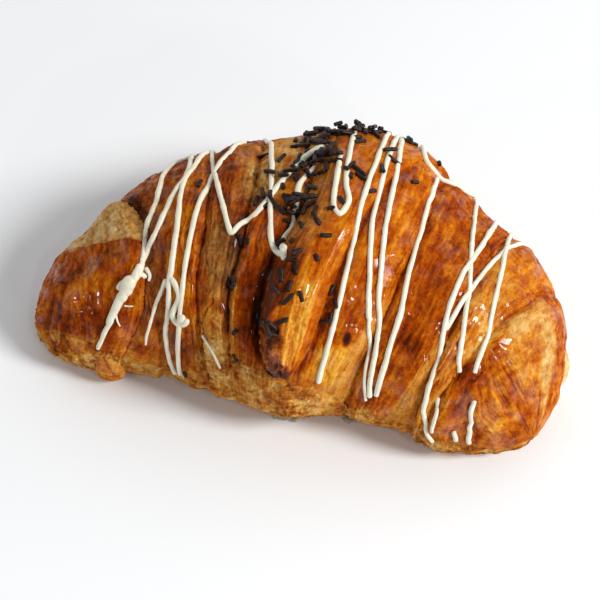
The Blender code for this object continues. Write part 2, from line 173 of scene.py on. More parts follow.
# White chocolate strands: each one's width at its start and at its end, and its route.
STRANDS = (
    (1.8, 2.0, ((-36, 162), (-39, 146), (-44, 128), (-47, 104), (-51, 88), (-55, 64), (-58, 56))),
    (2.2, 3.4, ((-55, 66), (-57, 60), (-59, 55), (-61, 50))),
    (5.2, 3.6, ((-57.5, 60), (-60, 55), (-62.5, 47))),
    (3.6, 2.2, ((-61, 53), (-64, 44), (-66.5, 34))),
    (2.1, 1.4, ((-65, 39), (-67.5, 30), (-70, 17))),
    (2.4, 1.8, ((-60, 58.5), (-62, 56.5), (-62.5, 54))),
    (1.8, 1.6, ((-57, 60), (-55, 60), (-54, 57))),
    (1.8, 2.1, ((-33, 152), (-37, 118), (-42, 102), (-47, 86), (-51, 76), (-55, 66))),
    (1.9, 1.9, ((-38, 150), (-38, 122), (-40, 103), (-42, 80), (-45, 60), (-46, 56), (-47, 50))),
    (1.9, 1.6, ((-25, 140), (-32, 106), (-36, 84), (-40, 60), (-43, 40), (-46, 15), (-46, -3))),
    (1.8, 2.2, ((-46, 57), (-44, 52), (-43, 47), (-45, 42), (-46.5, 37), (-44.5, 33), (-41, 34),
                (-40, 37))),
    (3.6, 3.4, ((-44, 37.5), (-42.5, 36), (-40.5, 35.5))),
    (1.9, 1.7, ((-46, 57), (-47.5, 42), (-50, 26), (-50, 10), (-48, -3))),
    (1.6, 0.8, ((-47, 56), (-53, 40), (-57, 25), (-58, 18))),
    (1.4, 2.0, ((-34, 158), (-31, 106), (-24, 73), (-21, 78), (-17, 81), (-13, 90), (-6, 108))),
    (1.7, 1.8, ((-22, 160), (-15, 104), (-12, 82), (-9, 68), (-4, 64))),
    (2.2, 1.8, ((-3, 62), (-6, 72), (-4, 76), (-5, 94), (-2, 104))),
    (2.8, 3.8, ((-7, 106), (-4, 112), (-1, 114))),
    (3.0, 2.6, ((-6, 68), (-3, 66))),
    (1.8, 1.9, ((1, 160), (6, 112), (9, 93), (12, 86), (11, 80), (8, 83), (6, 94), (4, 108))),
    (1.7, 1.8, ((10, 166), (14, 116), (16, 86), (19, 58), (20, 36), (19, 16))),
    (1.7, 1.7, ((14, 150), (17, 112), (21, 82), (27, 62), (30, 52), (31.5, 48))),
    (1.6, 1.0, ((28, 59), (32, 47), (35, 37), (37, 24), (39, 12))),
    (1.9, 1.7, ((12, 162), (20, 112), (25, 84), (31, 61), (37, 41), (40, 15))),
    (1.9, 2.2, ((36, 152), (34, 136), (29, 131), (25, 129), (22, 138), (20, 154))),
    (1.9, 1.8, ((29, 128), (32, 104), (36, 79), (40, 56), (42, 31), (42, 17))),
    (1.5, 1.7, ((36, 158), (44, 118), (50, 95), (57, 76), (64, 64), (70, 52))),
    (1.9, 1.6, ((44, 164), (49, 112), (50, 84), (54, 58), (62, 36), (68, 12), (73, 0))),
    (1.6, 1.7, ((58, 160), (55, 124), (54, 96), (54, 74), (54, 60))),
    (1.6, 1.7, ((49, 160), (55, 118), (62, 94), (69, 78), (74, 58))),
    (1.4, 1.3, ((68, 34), (71, 24), (72, 10))),
    (1.6, 1.7, ((78, 46), (80, 31), (82, 6))),
    (1.7, 1.5, ((77, 16), (79, 6))),
    (1.2, 0.8, ((-34, 29), (-29, 23), (-24, 15))),
    (3.0, 2.4, ((2, 142), (5, 145), (8, 143))),
    (0.8, 0.4, ((-62, 45), (-60.5, 43.5), (-59, 43))),
    (0.9, 0.5, ((-64, 42), (-64, 36), (-63.5, 32))),
    (1.6, 1.0, ((-54, 64), (-52.5, 59), (-53.5, 55))),
)
STRAND_LIFT = 0.12  # how far its middle lies above the dough, as a share of its width
STRAND_FLATNESS = (0.97, 0.85)  # its breadth and height, as shares of its width
STRAND_STEP = 0.5  # between the rings of a strand
STRAND_SIDES = 12
STRAND_STIFFNESS = 5  # rings over which a strand bridges what is uneven below it

# Chocolate sprinkles, as the solid has them, and more for the heap.
SPRINKLE_FALLS = (
    # along, angle, spread along, spread in angle, count
    (-3, 103, 6, 8, 24),
    (5, 132, 9, 8, 12),
    (-5, 76, 8, 9, 15),
    (7, 54, 8, 9, 9),
    (-3, 38, 4, 6, 5),
    (14, 105, 6, 14, 4),
)
STRAY_SPRINKLES = ((-35, 102), (-18, 70), (-19, 118), (-22, 52), (-18, 34), (-18, 22), (-43, 3))
MORE_SPRINKLES = (
    (-5, 120, 3.5, 5, 18),
    (0, 126, 4.5, 5, 14),
    (-1, 102, 5, 6, 12),
    (-6, 86, 4, 8, 14),
    (3, 64, 6, 9, 8),
    (9, 136, 8, 5, 12),
    (7, 108, 4, 12, 10),
)
SPRINKLE_WIDTH = 1.42
SPRINKLE_LENGTHS = (1.8, 5.6)
SPRINKLE_SIDES = 10
SPRINKLE_PROFILE = (
    # share of the length, share of the width
    (0, 0.55), (0.04, 0.82), (0.12, 0.97), (0.35, 1.0), (0.65, 0.98), (0.88, 0.96), (0.96, 0.80),
    (1.0, 0.5),
)
SPRINKLE_BEND = 0.25
SPRINKLE_SUNK = 0.3  # how deep it lies in what is under it
NEAR = 1.5  # widths within which sprinkles lie on each other
HEAPED, HEAP_LIMIT = 0.9, 3  # how much higher one lies for each under it, up to so many
BATCHES = 17  # different shades of sprinkle
SEED = 7

# Clear beads of syrup at the foot of the front.
SYRUP_BEADS = (
    # x, y, half sizes
    (-0.3, -43.0, (2.0, 1.9, 1.3)),
    (2.3, -42.6, (2.3, 2.2, 1.5)),
    (5.0, -43.4, (1.4, 1.3, 0.9)),
    (22.3, -39.2, (1.8, 1.6, 1.1)),
)

# How browned each wrap is, from 0, pale, to 1, burnt, how orange and how glazed.
WRAPS = (
    (0.57, 1.00, 0.85),
    (0.61, 0.75, 0.55),
    (0.59, 0.80, 0.55),
    (0.50, 1.00, 0.95),
    (0.57, 1.00, 0.85),
    (0.44, 0.95, 0.85),
    (0.53, 0.95, 0.90),
)
PATCHES = (
    # along, angle, half along, half angle, and what it adds: browning (some rows: painted shade and
    # sheen), warmth, gloss, flakes
    (-14, 50, 5.5, 36, 0.13, 0.1, 0.2, 0.0),  # deep red strip left of the tip of the roll
    (-10, 36, 3.5, 16, 0.08, -0.1, 0.0, 0.0),  # painted shade darkening the valley beside it
    (-17, 98, 5.5, 14, -0.10, -0.9, -0.8, 0.8),  # dull rough patch at its top
    (-12, 124, 14, 14, -0.18, -0.3, -0.2, 0.0),  # paler, less orange dough behind that, partly a painted milky sheen
    (-27, 66, 6, 16, -0.04, -0.7, -0.4, 0.2),  # dull wrinkled dough
    (-22.5, 58, 2.2, 26, 0.20, -0.2, 0.0, 0.0),  # its darker right side: painted shade at the foot of the crease
    (-28, 22, 7.5, 20, -0.31, -0.25, -0.3, 0.7),  # golden flakes below it
    (-55, 106, 4.0, 16, 0.30, -0.3, -0.5, 0.0),  # in the shade of the wrap beside it
    (-70, 78, 13, 6, 0.04, -0.4, 0.0, 0.0),  # rim of the left flap, less orange: a painted milky sheen
    (-69, 60, 10, 12, -0.03, 0.2, 0.0, 0.0),  # the flap's middle
    (-72, 38, 9, 11, 0.13, 0.0, 0.0, 0.1),  # its darker front
    (-82, 34, 6, 30, 0.02, -0.1, -0.4, 0.4),  # the left end's rough tip
    (-76, 14, 13, 14, -0.10, -0.2, -0.2, 0.6),  # the left end's foot
    (-60, 22, 5, 14, -0.08, 0.1, 0.0, 0.0),
    (-53, 60, 3.5, 40, 0.05, -0.2, -0.3, 0.0),  # brown shade along the first free edge
    (-41, 66, 5, 40, -0.14, 0.3, 0.1, 0.0),  # golden stripe between the strands
    (23, 70, 7, 32, 0.03, 0.1, 0.1, 0.0),  # the widest wrap's middle
    (25, 20, 9, 15, -0.24, 0.0, -0.1, 0.1),  # its paler foot
    (30.5, 69, 4.5, 7.0, 0.00, 0.0, -0.8, 0.0),  # where the glaze is thin
    (26.5, 38, 1.5, 2.8, 0.55, 0.0, 0.1, 0.0),  # burnt bubble
    (42, 74, 7, 26, 0.03, 0.0, 0.0, 0.0),
    (47.0, 48, 3.0, 4.2, 0.20, 0.1, 0.1, 0.0),  # dark spot
    (60, 92, 8, 16, -0.04, -0.2, -0.1, 0.0),
    (73, 110, 3.0, 20, -0.24, -0.5, -0.6, 0.1),  # pale band at the top of the right end
    (69, 76, 2.5, 16, -0.24, -0.3, 0.0, 0.0),  # and where it runs down into the crease
    (82, 122, 7, 12, -0.22, -0.7, -0.7, 0.4),  # bare dough at its far side
    (80, 92, 7, 14, -0.08, -0.2, -0.2, 0.4),
    (73, 54, 4.0, 10, 0.18, 0.1, 0.1, 0.0),  # brown shade where the right end begins
    (84, 20, 6, 22, 0.00, -0.1, 0.0, 0.2),
)
POOLS = (
    # where the glaze lies thickest: along, angle, half along, half angle
    (25, 48, 3.5, 9), (28, 49, 2.0, 4), (50.5, 61, 2.5, 4), (62.5, 53, 2.5, 9),
    (76.5, 42, 2.5, 8), (82.5, 60, 2.0, 8), (89, 70, 1.5, 9), (3, 70, 2.0, 3),
    (20, 66, 2.0, 4), (-66, 60, 3.0, 4), (-74, 62, 3.0, 3), (-62, 36, 2.0, 3),
)
POOL_RAGGED = 1.2
LINES = (
    # (angle, along) places, width, depth, browning; depth below 0 stands out
    (((18, -19), (40, -23), (60, -21.5), (88, -20)), 0.5, -0.35, 0.22),
    (((20, -20.5), (45, -24.5), (62, -23), (82, -21)), 0.45, -0.25, 0.20),
    (((28, -23), (50, -25.5), (66, -24.5), (76, -23)), 0.4, 0.3, 0.12),
    (((4, -32), (20, -34.2), (34, -34), (42, -31.5), (45, -29)), 0.35, 0.55, 0.22),
    (((-6, -38), (14, -38.5), (36, -39)), 0.6, 0.5, 0.10),
    (((-2, -86), (20, -85), (48, -83), (68, -81)), 0.8, 0.7, 0.14),
    (((6, -82), (30, -81.5), (52, -79.5), (74, -77)), 0.7, 0.6, 0.12),
    (((10, -79), (34, -78), (50, -76.5)), 0.6, 0.4, 0.08),
    (((-8, -70), (8, -71), (24, -72.5)), 0.8, 0.7, 0.10),
    (((-8, -74.5), (4, -75.5), (18, -76)), 0.6, 0.5, 0.08),
    (((92, -70), (112, -68), (132, -66)), 1.0, 0.5, 0.06),
    (((90, -64), (108, -62), (126, -61)), 0.8, 0.4, 0.06),
    (((6, 39), (24, 42), (42, 44), (58, 42)), 0.6, 0.35, 0.08),
    (((30, 60), (48, 63), (66, 63), (84, 61)), 0.7, 0.5, 0.10),
    (((26, 63.5), (44, 66), (60, 66), (74, 65)), 0.5, 0.4, 0.08),
    (((20, 21), (45, 24), (70, 24)), 0.6, 0.3, 0.05),
)
BELLY_EDGE = (
    # along, the angle below which the dough is unglazed and flaky
    (-91, 4), (-75, 10), (-62, 8), (-48, 4), (-38, 12), (-33, 28), (-21, 27), (-8, 19), (8, 17),
    (18, 9), (24, 5), (34, 5), (50, 5), (64, 2), (80, 2), (91, 6),
)

# The crust's colours along its browning, in sRGB.
GLAZED_COLOURS = (
    (0.0, (236, 200, 120)), (0.15, (227, 168, 66)), (0.28, (214, 143, 34)),
    (0.40, (198, 116, 16)), (0.52, (175, 84, 8)), (0.64, (147, 58, 4)),
    (0.76, (115, 40, 4)), (0.88, (80, 28, 6)), (1.0, (44, 19, 9)),
)
DULL_COLOURS = (
    (0.0, (232, 208, 168)), (0.2, (209, 174, 120)), (0.4, (180, 130, 66)),
    (0.6, (138, 88, 40)), (0.8, (92, 52, 25)), (1.0, (46, 26, 17)),
)
# The crust's own noises: scale, detail, roughness, and how much each changes the browning.
CLOUD, FINE, STREAKS = (330, 4, 0.6), (1100, 3, 0.6), (0.9, 4, 0.6)
CLOUD_BROWNS, FINE_BROWNS, STREAKS_BROWN = 0.26, 0.32, 0.50
STREAK_STRETCH = (1.0, 0.14, 1.0)
WET = (170, 3, 0.55)  # the same for where the glaze lies thick
POOL_DRAWS = 0.16  # how much more often it does in a pool
WET_RANGE = {"From Min": 0.48, "From Max": 0.62, "To Min": 0.06, "To Max": 0.8}
# Chocolate: pale and deep colour, roughness, specular level, scale of its mottle, bump.
WHITE_CHOCOLATE = ((240, 236, 218), (224, 217, 192), 0.38, 0.5, 260, 0.25)
DARK_CHOCOLATE = ((46, 26, 20), (24, 13, 10), 0.40, 0.25, 700, 0.5)

# The studio, in metres and watts.
FLOOR_SIZE, FLOOR_GAP = 3.0, 0.0001
LAMPS_AIM = (0, 0, 0.03)
KEY_PLACE, KEY_SIZE, KEY_POWER = (1.24, -0.20, 1.05), 0.50, 24.0
KEY_TINT = (1.0, 0.99, 0.975)
GLINTS = (
    # place, power
    ((0.52, -0.58, 0.45), 0.40),
    ((0.68, -0.45, 0.38), 0.35),
    ((0.32, -0.45, 0.71), 0.35),
    ((-0.68, -0.54, 0.24), 0.60),
)
GLINT_SIZE, GLINT_TINT = 0.036, (1.0, 1.0, 1.0)
SKY_TINT = (0.97, 0.985, 0.99, 1)
DIM_TOWARDS = (0.142, -0.570, 0.809)
# From the cosine of the angle to there, to how bright the white walls are.
DIM_RANGE = {"From Min": 0.15, "From Max": 0.90, "To Min": 0.90, "To Max": 0.08}

# Camera: the photo's viewing angle.
CAMERA_TURN, CAMERA_RISE = 14.0, 54.0  # degrees
CAMERA_DISTANCE = 0.520
CAMERA_AIM = (0.0047, -0.0103, 0.026)
CAMERA_SLIDE = (-0.0058, -0.0026)  # to the right and up
PIXELS_PER_MM = 3.10
FRAME_PIXELS = 600
SENSOR = 36.0


def blend(low, high, share):
    """The value that lies that share of the way from low to high."""
    return low + (high - low) * share


def eased(share):
    """A share from 0 to 1, made smooth at both ends."""
    share = np.clip(share, 0.0, 1.0)
    return share * share * (3 - 2 * share)


def curved(rows, keys, column):
    """The column's value at each key, curving smoothly between the rows."""
    at = np.array([row[0] for row in rows], float)
    value = np.array([row[column] for row in rows], float)
    last = len(at) - 1
    i = np.clip(np.searchsorted(at, keys, "right") - 1, 0, last - 1)
    before, after = np.maximum(i - 1, 0), np.minimum(i + 2, last)
    span = at[i + 1] - at[i]
    t = (keys - at[i]) / span
    leave = (value[i + 1] - value[before]) / (at[i + 1] - at[before]) * span
    reach = (value[after] - value[i]) / (at[after] - at[i]) * span
    return (
        value[i] * (2 * t**3 - 3 * t**2 + 1)
        + leave * (t**3 - 2 * t**2 + t)
        + value[i + 1] * (3 * t**2 - 2 * t**3)
        + reach * (t**3 - t**2)
    )


def corner_value(x, y, z, seed):
    """A fixed random number from 0 to 1 at each corner of a grid."""
    mixed = x * 374761393 + y * 668265263 + z * 1442695041 + seed * 1274126177
    mixed = (mixed ^ (mixed >> 13)) & 0x7FFFFFFF
    mixed = (mixed * 1103515245 + 12345) & 0x7FFFFFFF
    mixed = ((mixed ^ (mixed >> 15)) * 48271) & 0x7FFFFFFF
    return mixed / 0x7FFFFFFF


def noise_at(points, seed):
    """Smooth noise from -1 to 1 at points of any shape (..., 3)."""
    floor = np.floor(points)
    part = points - floor
    smooth = part * part * part * (part * (part * 6 - 15) + 10)
    total = np.zeros(points.shape[:-1])
    for corner in product((0, 1), repeat=3):
        number = np.moveaxis(floor.astype(np.int64) + corner, -1, 0)
        turn = corner_value(*number, seed) * 2 * math.pi
        lift = corner_value(*number, seed + 57) * 2 - 1
        flat = np.sqrt(np.maximum(1 - lift * lift, 0))
        x, y, z = np.moveaxis(part - corner, -1, 0)
        slope = x * flat * np.cos(turn) + y * flat * np.sin(turn) + z * lift
        x, y, z = np.moveaxis(np.abs(1 - np.array(corner) - smooth), -1, 0)
        total += slope * (x * y * z)
    return total * NOISE_GAIN


def layered(points, octaves, seed, loss=0.5):
    """Noise with finer and finer detail, roughly from -1 to 1."""
    total, depth, sum_of_depths = 0.0, 1.0, 0.0
    for k in range(octaves):
        total = total + noise_at(points * 2.03**k + k * 7.3, seed + k * 11) * depth
        sum_of_depths += depth
        depth *= loss
    return total / sum_of_depths


def ridged(points, octaves, seed):
    """Noise with sharp crests, from 0 in the hollows to 1 on the crests."""
    return 1 - np.abs(layered(points, octaves, seed)) * 2


def cells(points, seed):
    """Distance to the nearest of scattered points, one to a unit cube, and its own number."""
    floor = np.floor(points).astype(np.int64)
    nearest = np.full(points.shape[:-1], 9.0)
    number = np.zeros(points.shape[:-1])
    for neighbour in product((-1, 0, 1), repeat=3):
        cube = np.moveaxis(floor + neighbour, -1, 0)
        apart = (cube[k] + corner_value(*cube, seed + k) - points[..., k] for k in range(3))
        away = sum(distance**2 for distance in apart)
        closer = away < nearest
        nearest = np.where(closer, away, nearest)
        number = np.where(closer, corner_value(*cube, seed + 3), number)
    return np.sqrt(nearest), number


def stacked(*columns):
    """The columns as points, with as many zeros as they need to be three long."""
    columns = [*columns, *[np.zeros(1)] * (3 - len(columns))]
    return np.stack(np.broadcast_arrays(*columns), axis=-1)


def place(along, angle, size, rise_by=0.0):
    """The points at those angles, in degrees, of sections of that size, raised by some mm."""
    x, y, turn, half_width, height = (curved(SECTIONS, along, k) for k in range(1, 6))
    middle = WIDEST_AT * height
    angle = np.radians(angle)
    across = -np.cos(angle) * (half_width * size + rise_by)
    rise = np.sin(angle)
    above = middle + ((height - middle) * size + rise_by) * rise
    below = middle + middle * UNDERSIDE * rise * size
    z = np.where(rise >= 0, above, below)
    turn = np.radians(turn)
    x = x + across * np.sin(turn) - MIDDLE[0]
    y = y + across * np.cos(turn) - MIDDLE[1]
    return np.stack(np.broadcast_arrays(x, y, np.maximum(z, 0.0)), axis=-1)


def crease_share(angle):
    """How much of a crease shows at that angle, in degrees."""
    front = blend(BELLY_STEP, 1.0, eased((angle + 10) / 45))
    return front * blend(1.0, BACK_STEP, eased((angle - 110) / 40))


def ear_edge(along):
    """The angle of the left flap's back edge."""
    return np.interp(along, *zip(*EAR_EDGE))


def ear(along, angle):
    """How much thicker the left end is where its flap covers it."""
    start, end = EAR_SPAN
    reach = eased((along - start) / 8) * eased((end - along) / 4)
    return EAR_RISE * reach * eased((ear_edge(along) - angle) / 3)


def lumps(along, angle):
    """The swelling of the dough, as a share of its size, as the solid has it."""
    along, turn = np.broadcast_arrays(along, np.radians(angle))
    total = np.zeros(along.shape)
    for number, (depth, width) in enumerate(LUMPS):
        girth = GIRTH / width
        spots = np.stack((along / width, np.cos(turn) * girth, np.sin(turn) * girth), axis=-1)
        spots = spots + (0, 0, number * 5.5)
        values = [noise.noise(Vector(spot)) for spot in spots.reshape(-1, 3)]
        total += depth * np.reshape(values, along.shape)
    return total


def join_rows(parts):
    """Several lists of rings, end to end."""
    keys = parts[0].keys()
    return {key: np.concatenate([part[key] for part in parts]) for key in keys}


def make_rows(places, size, step, slope, wrap):
    """Rings as arrays: where each lies at the key angles, its size, its step and what it is."""
    count = len(places)
    values = {"size": size, "step": step, "slope": slope, "wrap": wrap}
    rows = {key: np.broadcast_to(np.asarray(value, float), count) for key, value in values.items()}
    rows["places"] = np.asarray(places, float)
    return rows


def backwards(rows):
    """The same rings in the other order."""
    return {key: value[::-1] for key, value in rows.items()}


def seam_rows(number):
    """The rings of a free edge, from left to right."""
    line, side, slope_front, slope = SEAMS[number]
    keys = np.array(KEY_ANGLES, float)
    reach = blend(slope, slope_front, eased(1 - keys / SLOPE_FADES_AT))
    count = int(SEAM_ROWS + max(0.0, slope_front - 4) / ROW_GAP)
    profile = np.array(EDGE_PROFILE)
    marks = np.linspace(0, len(profile) - 1, count)
    share, under, step = (np.interp(marks, range(len(profile)), profile[:, k]) for k in range(3))
    places = np.array(line) - side * (share[:, None] * reach + under[:, None])
    rows = make_rows(places, 1.0, step, 1.0 - share, number + (0 if side > 0 else 1))
    return rows if side < 0 else backwards(rows)


def spread_rows(start, end, wrap, sinks_at_start, sinks_at_end):
    """The rings across a wrap, which swells in its middle and sinks into its creases."""
    start, end = np.array(start, float), np.array(end, float)
    width = np.abs(end - start).max()
    share = np.linspace(0, 1, max(3, round(width / ROW_GAP)))[1:-1]
    places = blend(start, end, share[:, None])
    size = 1.0 + SWELL[wrap] * np.sin(math.pi * share) ** 0.7
    mean_width = np.abs(end - start).mean()
    step = np.zeros_like(share)
    if sinks_at_start:
        step = np.maximum(step, SINKS * eased(1 - share * mean_width / DIP))
    if sinks_at_end:
        step = np.maximum(step, SINKS * eased(1 - (1 - share) * mean_width / DIP))
    return make_rows(places, size, step, -1.0, wrap)


def end_rows(side, wrap):
    """The rings that round off one end of the roll, from its tip inwards."""
    end = SECTIONS[0][0] if side < 0 else SECTIONS[-1][0]
    inward = np.concatenate((np.linspace(0, 3, 12), np.arange(3.5, END_LENGTH + 0.1, ROW_GAP)))
    size = np.interp(inward, *zip((0.0, 0.12), *END_ROUNDING))
    rounded = np.sqrt(np.clip(1 - (1 - inward / (END_LENGTH + 0.5)) ** 2.2, 0, 1)) * 0.97 + 0.01
    places = np.repeat((end - side * inward)[:, None], len(KEY_ANGLES), axis=1)
    return make_rows(places, np.maximum(size * 0.6 + rounded * 0.4, 0.03), 0.0, -1.0, wrap)


def tucked_rows(places, direction, wrap):
    """The rings that run on out of sight under the next wrap and close there."""
    offsets = np.array([row[0] for row in TUCKED]) * direction
    sizes = np.array([row[1] for row in TUCKED])
    return make_rows(np.array(places) + offsets[:, None], sizes, 1.2, -1.0, wrap)


def side_rows(wrap, side):
    """The rings at a wrap's left, -1, or right, 1, from the rest of it outwards.

    With them go the place where the rest of it ends and whether it is tucked in there.
    """
    number = wrap - 1 if side < 0 else wrap
    if not 0 <= number < len(SEAMS):
        tip = backwards(end_rows(side, wrap))
        return [tip], tip["places"][0], False
    edge = seam_rows(number) if side > 0 else backwards(seam_rows(number))
    foot = edge["places"][0]
    if SEAMS[number][1] != side:
        return [tucked_rows(foot, side, wrap)], foot, True
    return [edge, tucked_rows(edge["places"][-1], -side, wrap)], foot, False


def wrap_rows(wrap):
    """Every ring of one wrap, from left to right."""
    left, start, sinks_at_start = side_rows(wrap, -1)
    right, end, sinks_at_end = side_rows(wrap, 1)
    middle = spread_rows(start, end, wrap, sinks_at_start, sinks_at_end)
    return join_rows([*map(backwards, reversed(left)), middle, *right])


def ring_angles():
    """The angles of a ring's points, close together above the base and wider under it."""
    start, end = BASE_ANGLES
    top = np.linspace(end - 360, start, TOP_POINTS, endpoint=False)
    base = np.linspace(start, end, BASE_POINTS, endpoint=False)
    return np.concatenate((top, base))


def key_weights(angles):
    """How much each key angle counts at each of these angles."""
    inside = np.clip(np.where(angles > 270, angles - 360, angles), KEY_ANGLES[0], KEY_ANGLES[-1])
    unit = np.eye(len(KEY_ANGLES))
    rows = [(key, *unit[k]) for k, key in enumerate(KEY_ANGLES)]
    return np.stack([curved(rows, inside, k + 1) for k in range(len(KEY_ANGLES))], axis=-1)


def grid_normals(points):
    """The outward direction at each point of a grid whose rows close on themselves."""
    down = np.gradient(points, axis=0)
    across = np.roll(points, -1, axis=1) - np.roll(points, 1, axis=1)
    normals = np.cross(across, down)
    length = np.linalg.norm(normals, axis=-1, keepdims=True)
    normals = normals / np.maximum(length, 1e-9)
    outward = points - points.mean(axis=1, keepdims=True)
    return normals if (normals * outward).sum() > 0 else -normals


def roll_surface(rows):
    """The smooth surface through the rings, with each point's place on the dough."""
    angles = ring_angles()
    degrees = np.where(angles > 270, angles - 360, angles)
    along = rows["places"] @ key_weights(angles).T
    angle = np.broadcast_to(degrees, along.shape)
    edge = rows["slope"][:, None] >= 0
    wander = 1.0 * noise_at(stacked(along * 0.02, angle * 0.06), 3)
    ragged = 0.35 * layered(stacked(along * 0.02, angle * 0.30), 2, 5)
    along = along + np.where(edge, wander + ragged, wander * rows["step"][:, None])
    size = rows["size"][:, None]
    grown = size - STEP * rows["step"][:, None] * crease_share(degrees) + ear(along, angle)
    grown = grown + lumps(along, angle) * size
    points = place(along, angle, grown)
    each = {key: rows[key] for key in ("slope", "wrap", "step")}
    each["home"] = rows["places"][:, KEY_ANGLES.index(90)]
    spread = {key: np.broadcast_to(values[:, None], along.shape) for key, values in each.items()}
    return SimpleNamespace(
        along=along,
        angle=angle,
        arc=angle * DEGREE,
        points=points,
        normals=grid_normals(points),
        **spread,
    )


def patch(dough, along, angle, half_along, half_angle, soft=0.45, ragged=0.45):
    """A ragged oval patch on the dough: 1 inside it, 0 outside."""
    away = np.hypot((dough.along - along) / half_along, (dough.angle - angle) / half_angle)
    away = away + ragged * dough.blotch
    return eased((1 + soft - away) / (2 * soft))


def beside(dough, line):
    """How far each point lies to the right of a line given as (angle, along) places."""
    at, along = zip(*line)
    return dough.along - np.interp(dough.angle, at, along)


def between(dough, low, high, soft=6.0):
    """1 between two angles, fading to 0 outside them."""
    return eased((dough.angle - low) / soft + 0.5) * eased((high - dough.angle) / soft + 0.5)


def behind_ear(dough):
    """1 on the bare dough behind the left flap, 0 elsewhere."""
    past = eased((dough.angle - ear_edge(dough.along)) / 2)
    on_left = (dough.wrap == 0) * eased((dough.along + 84) / 6)
    return past * on_left * eased((150 - dough.angle + 20 * dough.blotch) / 20)


def describe(dough):
    """Works out how browned, warm, glazed and flaky the dough is at each point, with the painted
    shade and sheen that some patches add.
    """
    dough.blotch = blotches(dough.points)
    wrap = dough.wrap.astype(int)
    tone, warm, gloss = (np.array(WRAPS)[wrap][..., k] for k in range(3))
    edge = np.interp(dough.along, *zip(*BELLY_EDGE)) + 10 * dough.blotch
    belly = eased((edge - dough.angle) / 9 + 0.5)
    back = eased((dough.angle - 160) / 25)
    flaky = belly * 0.9
    for *where, brown, warmth, shine, flake in PATCHES:
        mask = patch(dough, *where)
        tone = tone + mask * brown
        warm = warm + mask * warmth
        gloss = gloss + mask * shine
        flaky = flaky + mask * flake
    bare = behind_ear(dough)
    tone = blend(tone, tone * 0.4 + 0.02, bare)
    warm = blend(warm, 0.1, bare)
    gloss = gloss * (1 - 0.7 * bare)
    tone = blend(tone, 0.37, belly * 0.85)
    warm = blend(warm, 0.45, belly * 0.9)
    tone = blend(tone, 0.42, back * 0.6)
    warm = warm * (1 - 0.4 * back)
    dough.flaky = np.clip(flaky, 0, 1)
    dough.tone, dough.warm = tone, warm
    dough.gloss = gloss * (1 - belly * 0.8) * (1 - back * 0.5)
    dough.pools = np.maximum.reduce([patch(dough, *row, ragged=POOL_RAGGED) for row in POOLS])
    dough.streak = layered(stacked(dough.home / 1.6, dough.arc / 20, dough.wrap * 3.7), 3, 31)
    mottle(dough, 0.20, 0.15, 0.08, 0.25)


def blotches(points):
    """Slow changes over the dough, roughly from -1 to 1."""
    return layered(points / 8.0, 3, 21)


def mottle(dough, blotchy, streaky, spotty, tinted):
    """Uneven browning, from blotches, streaks and small spots, and uneven warmth."""
    spots = layered(dough.points / 2.6, 2, 33)
    dough.tone = dough.tone + blotchy * dough.blotch + streaky * dough.streak + spotty * spots
    dough.warm = dough.warm + tinted * layered(dough.points / 5.0 + 9, 2, 35)


def laminations(dough):
    """The thin layers that show on a free edge: relief in mm."""
    shown = (dough.slope >= 0) & (dough.slope < 0.999)
    wide = shown & (dough.wrap >= MIDDLE_WRAP) & (dough.wrap < RIGHT_END)
    wide = wide * eased((SLOPE_FADES_AT - dough.angle) / 22)
    narrow = np.where(shown, 1.0 - wide, 0.0) * eased((150 - dough.angle) / 20)
    drift = 0.05 * layered(stacked(dough.home / 9, dough.arc / 14), 2, 5)
    phase = (dough.slope + drift) * blend(3.0, 8.0, wide)
    whole = np.floor(phase)
    layer = phase - whole
    number = corner_value(whole.astype(int), (dough.wrap * 2).astype(int), 0, 9)
    dough.tone = blend(dough.tone, 0.24 + 0.16 * layer + 0.12 * number + 0.08 * dough.streak, wide)
    dough.warm = blend(dough.warm, 0.75, wide)
    dough.tone = dough.tone + narrow * (0.16 * layer - 0.04)
    return wide * (0.45 * (layer - 0.5)) + narrow * 0.3 * (layer - 0.5)


def flakes(dough):
    """Crumbly plates where the dough is unglazed: relief in mm."""
    points = dough.points
    warped = points + 1.4 * stacked(*(noise_at(points / 3.0 + k * 9, 57) for k in range(3)))
    _, large = cells(warped / (6.0, 5.0, 3.6), 61)
    near, small = cells(warped / (2.4, 2.2, 1.6) + 5, 65)
    large, small = large - 0.5, small - 0.5
    crag = ridged(points / (3.4, 3.4, 2.4), 3, 53)
    edge = eased((near - 0.55) / 0.4)
    dough.tone = dough.tone + dough.flaky * (0.26 * large + 0.20 * small + 0.16 * edge)
    dough.tone = dough.tone - dough.flaky * 0.14 * (crag - 0.5)
    return dough.flaky * (0.8 * large + 0.5 * small + 0.7 * (crag - 0.6) - 0.1)


def creases(dough):
    """Wrinkles and cracks along the dough: relief in mm."""
    relief = np.zeros(dough.points.shape[:-1])
    waver = 0.9 * layered(stacked(dough.arc / 7, dough.home * 0 + 2), 2, 77)
    for line, width, depth, brown in LINES:
        away = beside(dough, line) + waver
        inside = between(dough, line[0][0], line[-1][0], 8)
        mark = np.exp(-((away / width) ** 2)) * inside
        relief -= depth * mark
        dough.tone = dough.tone + brown * mark
    return relief


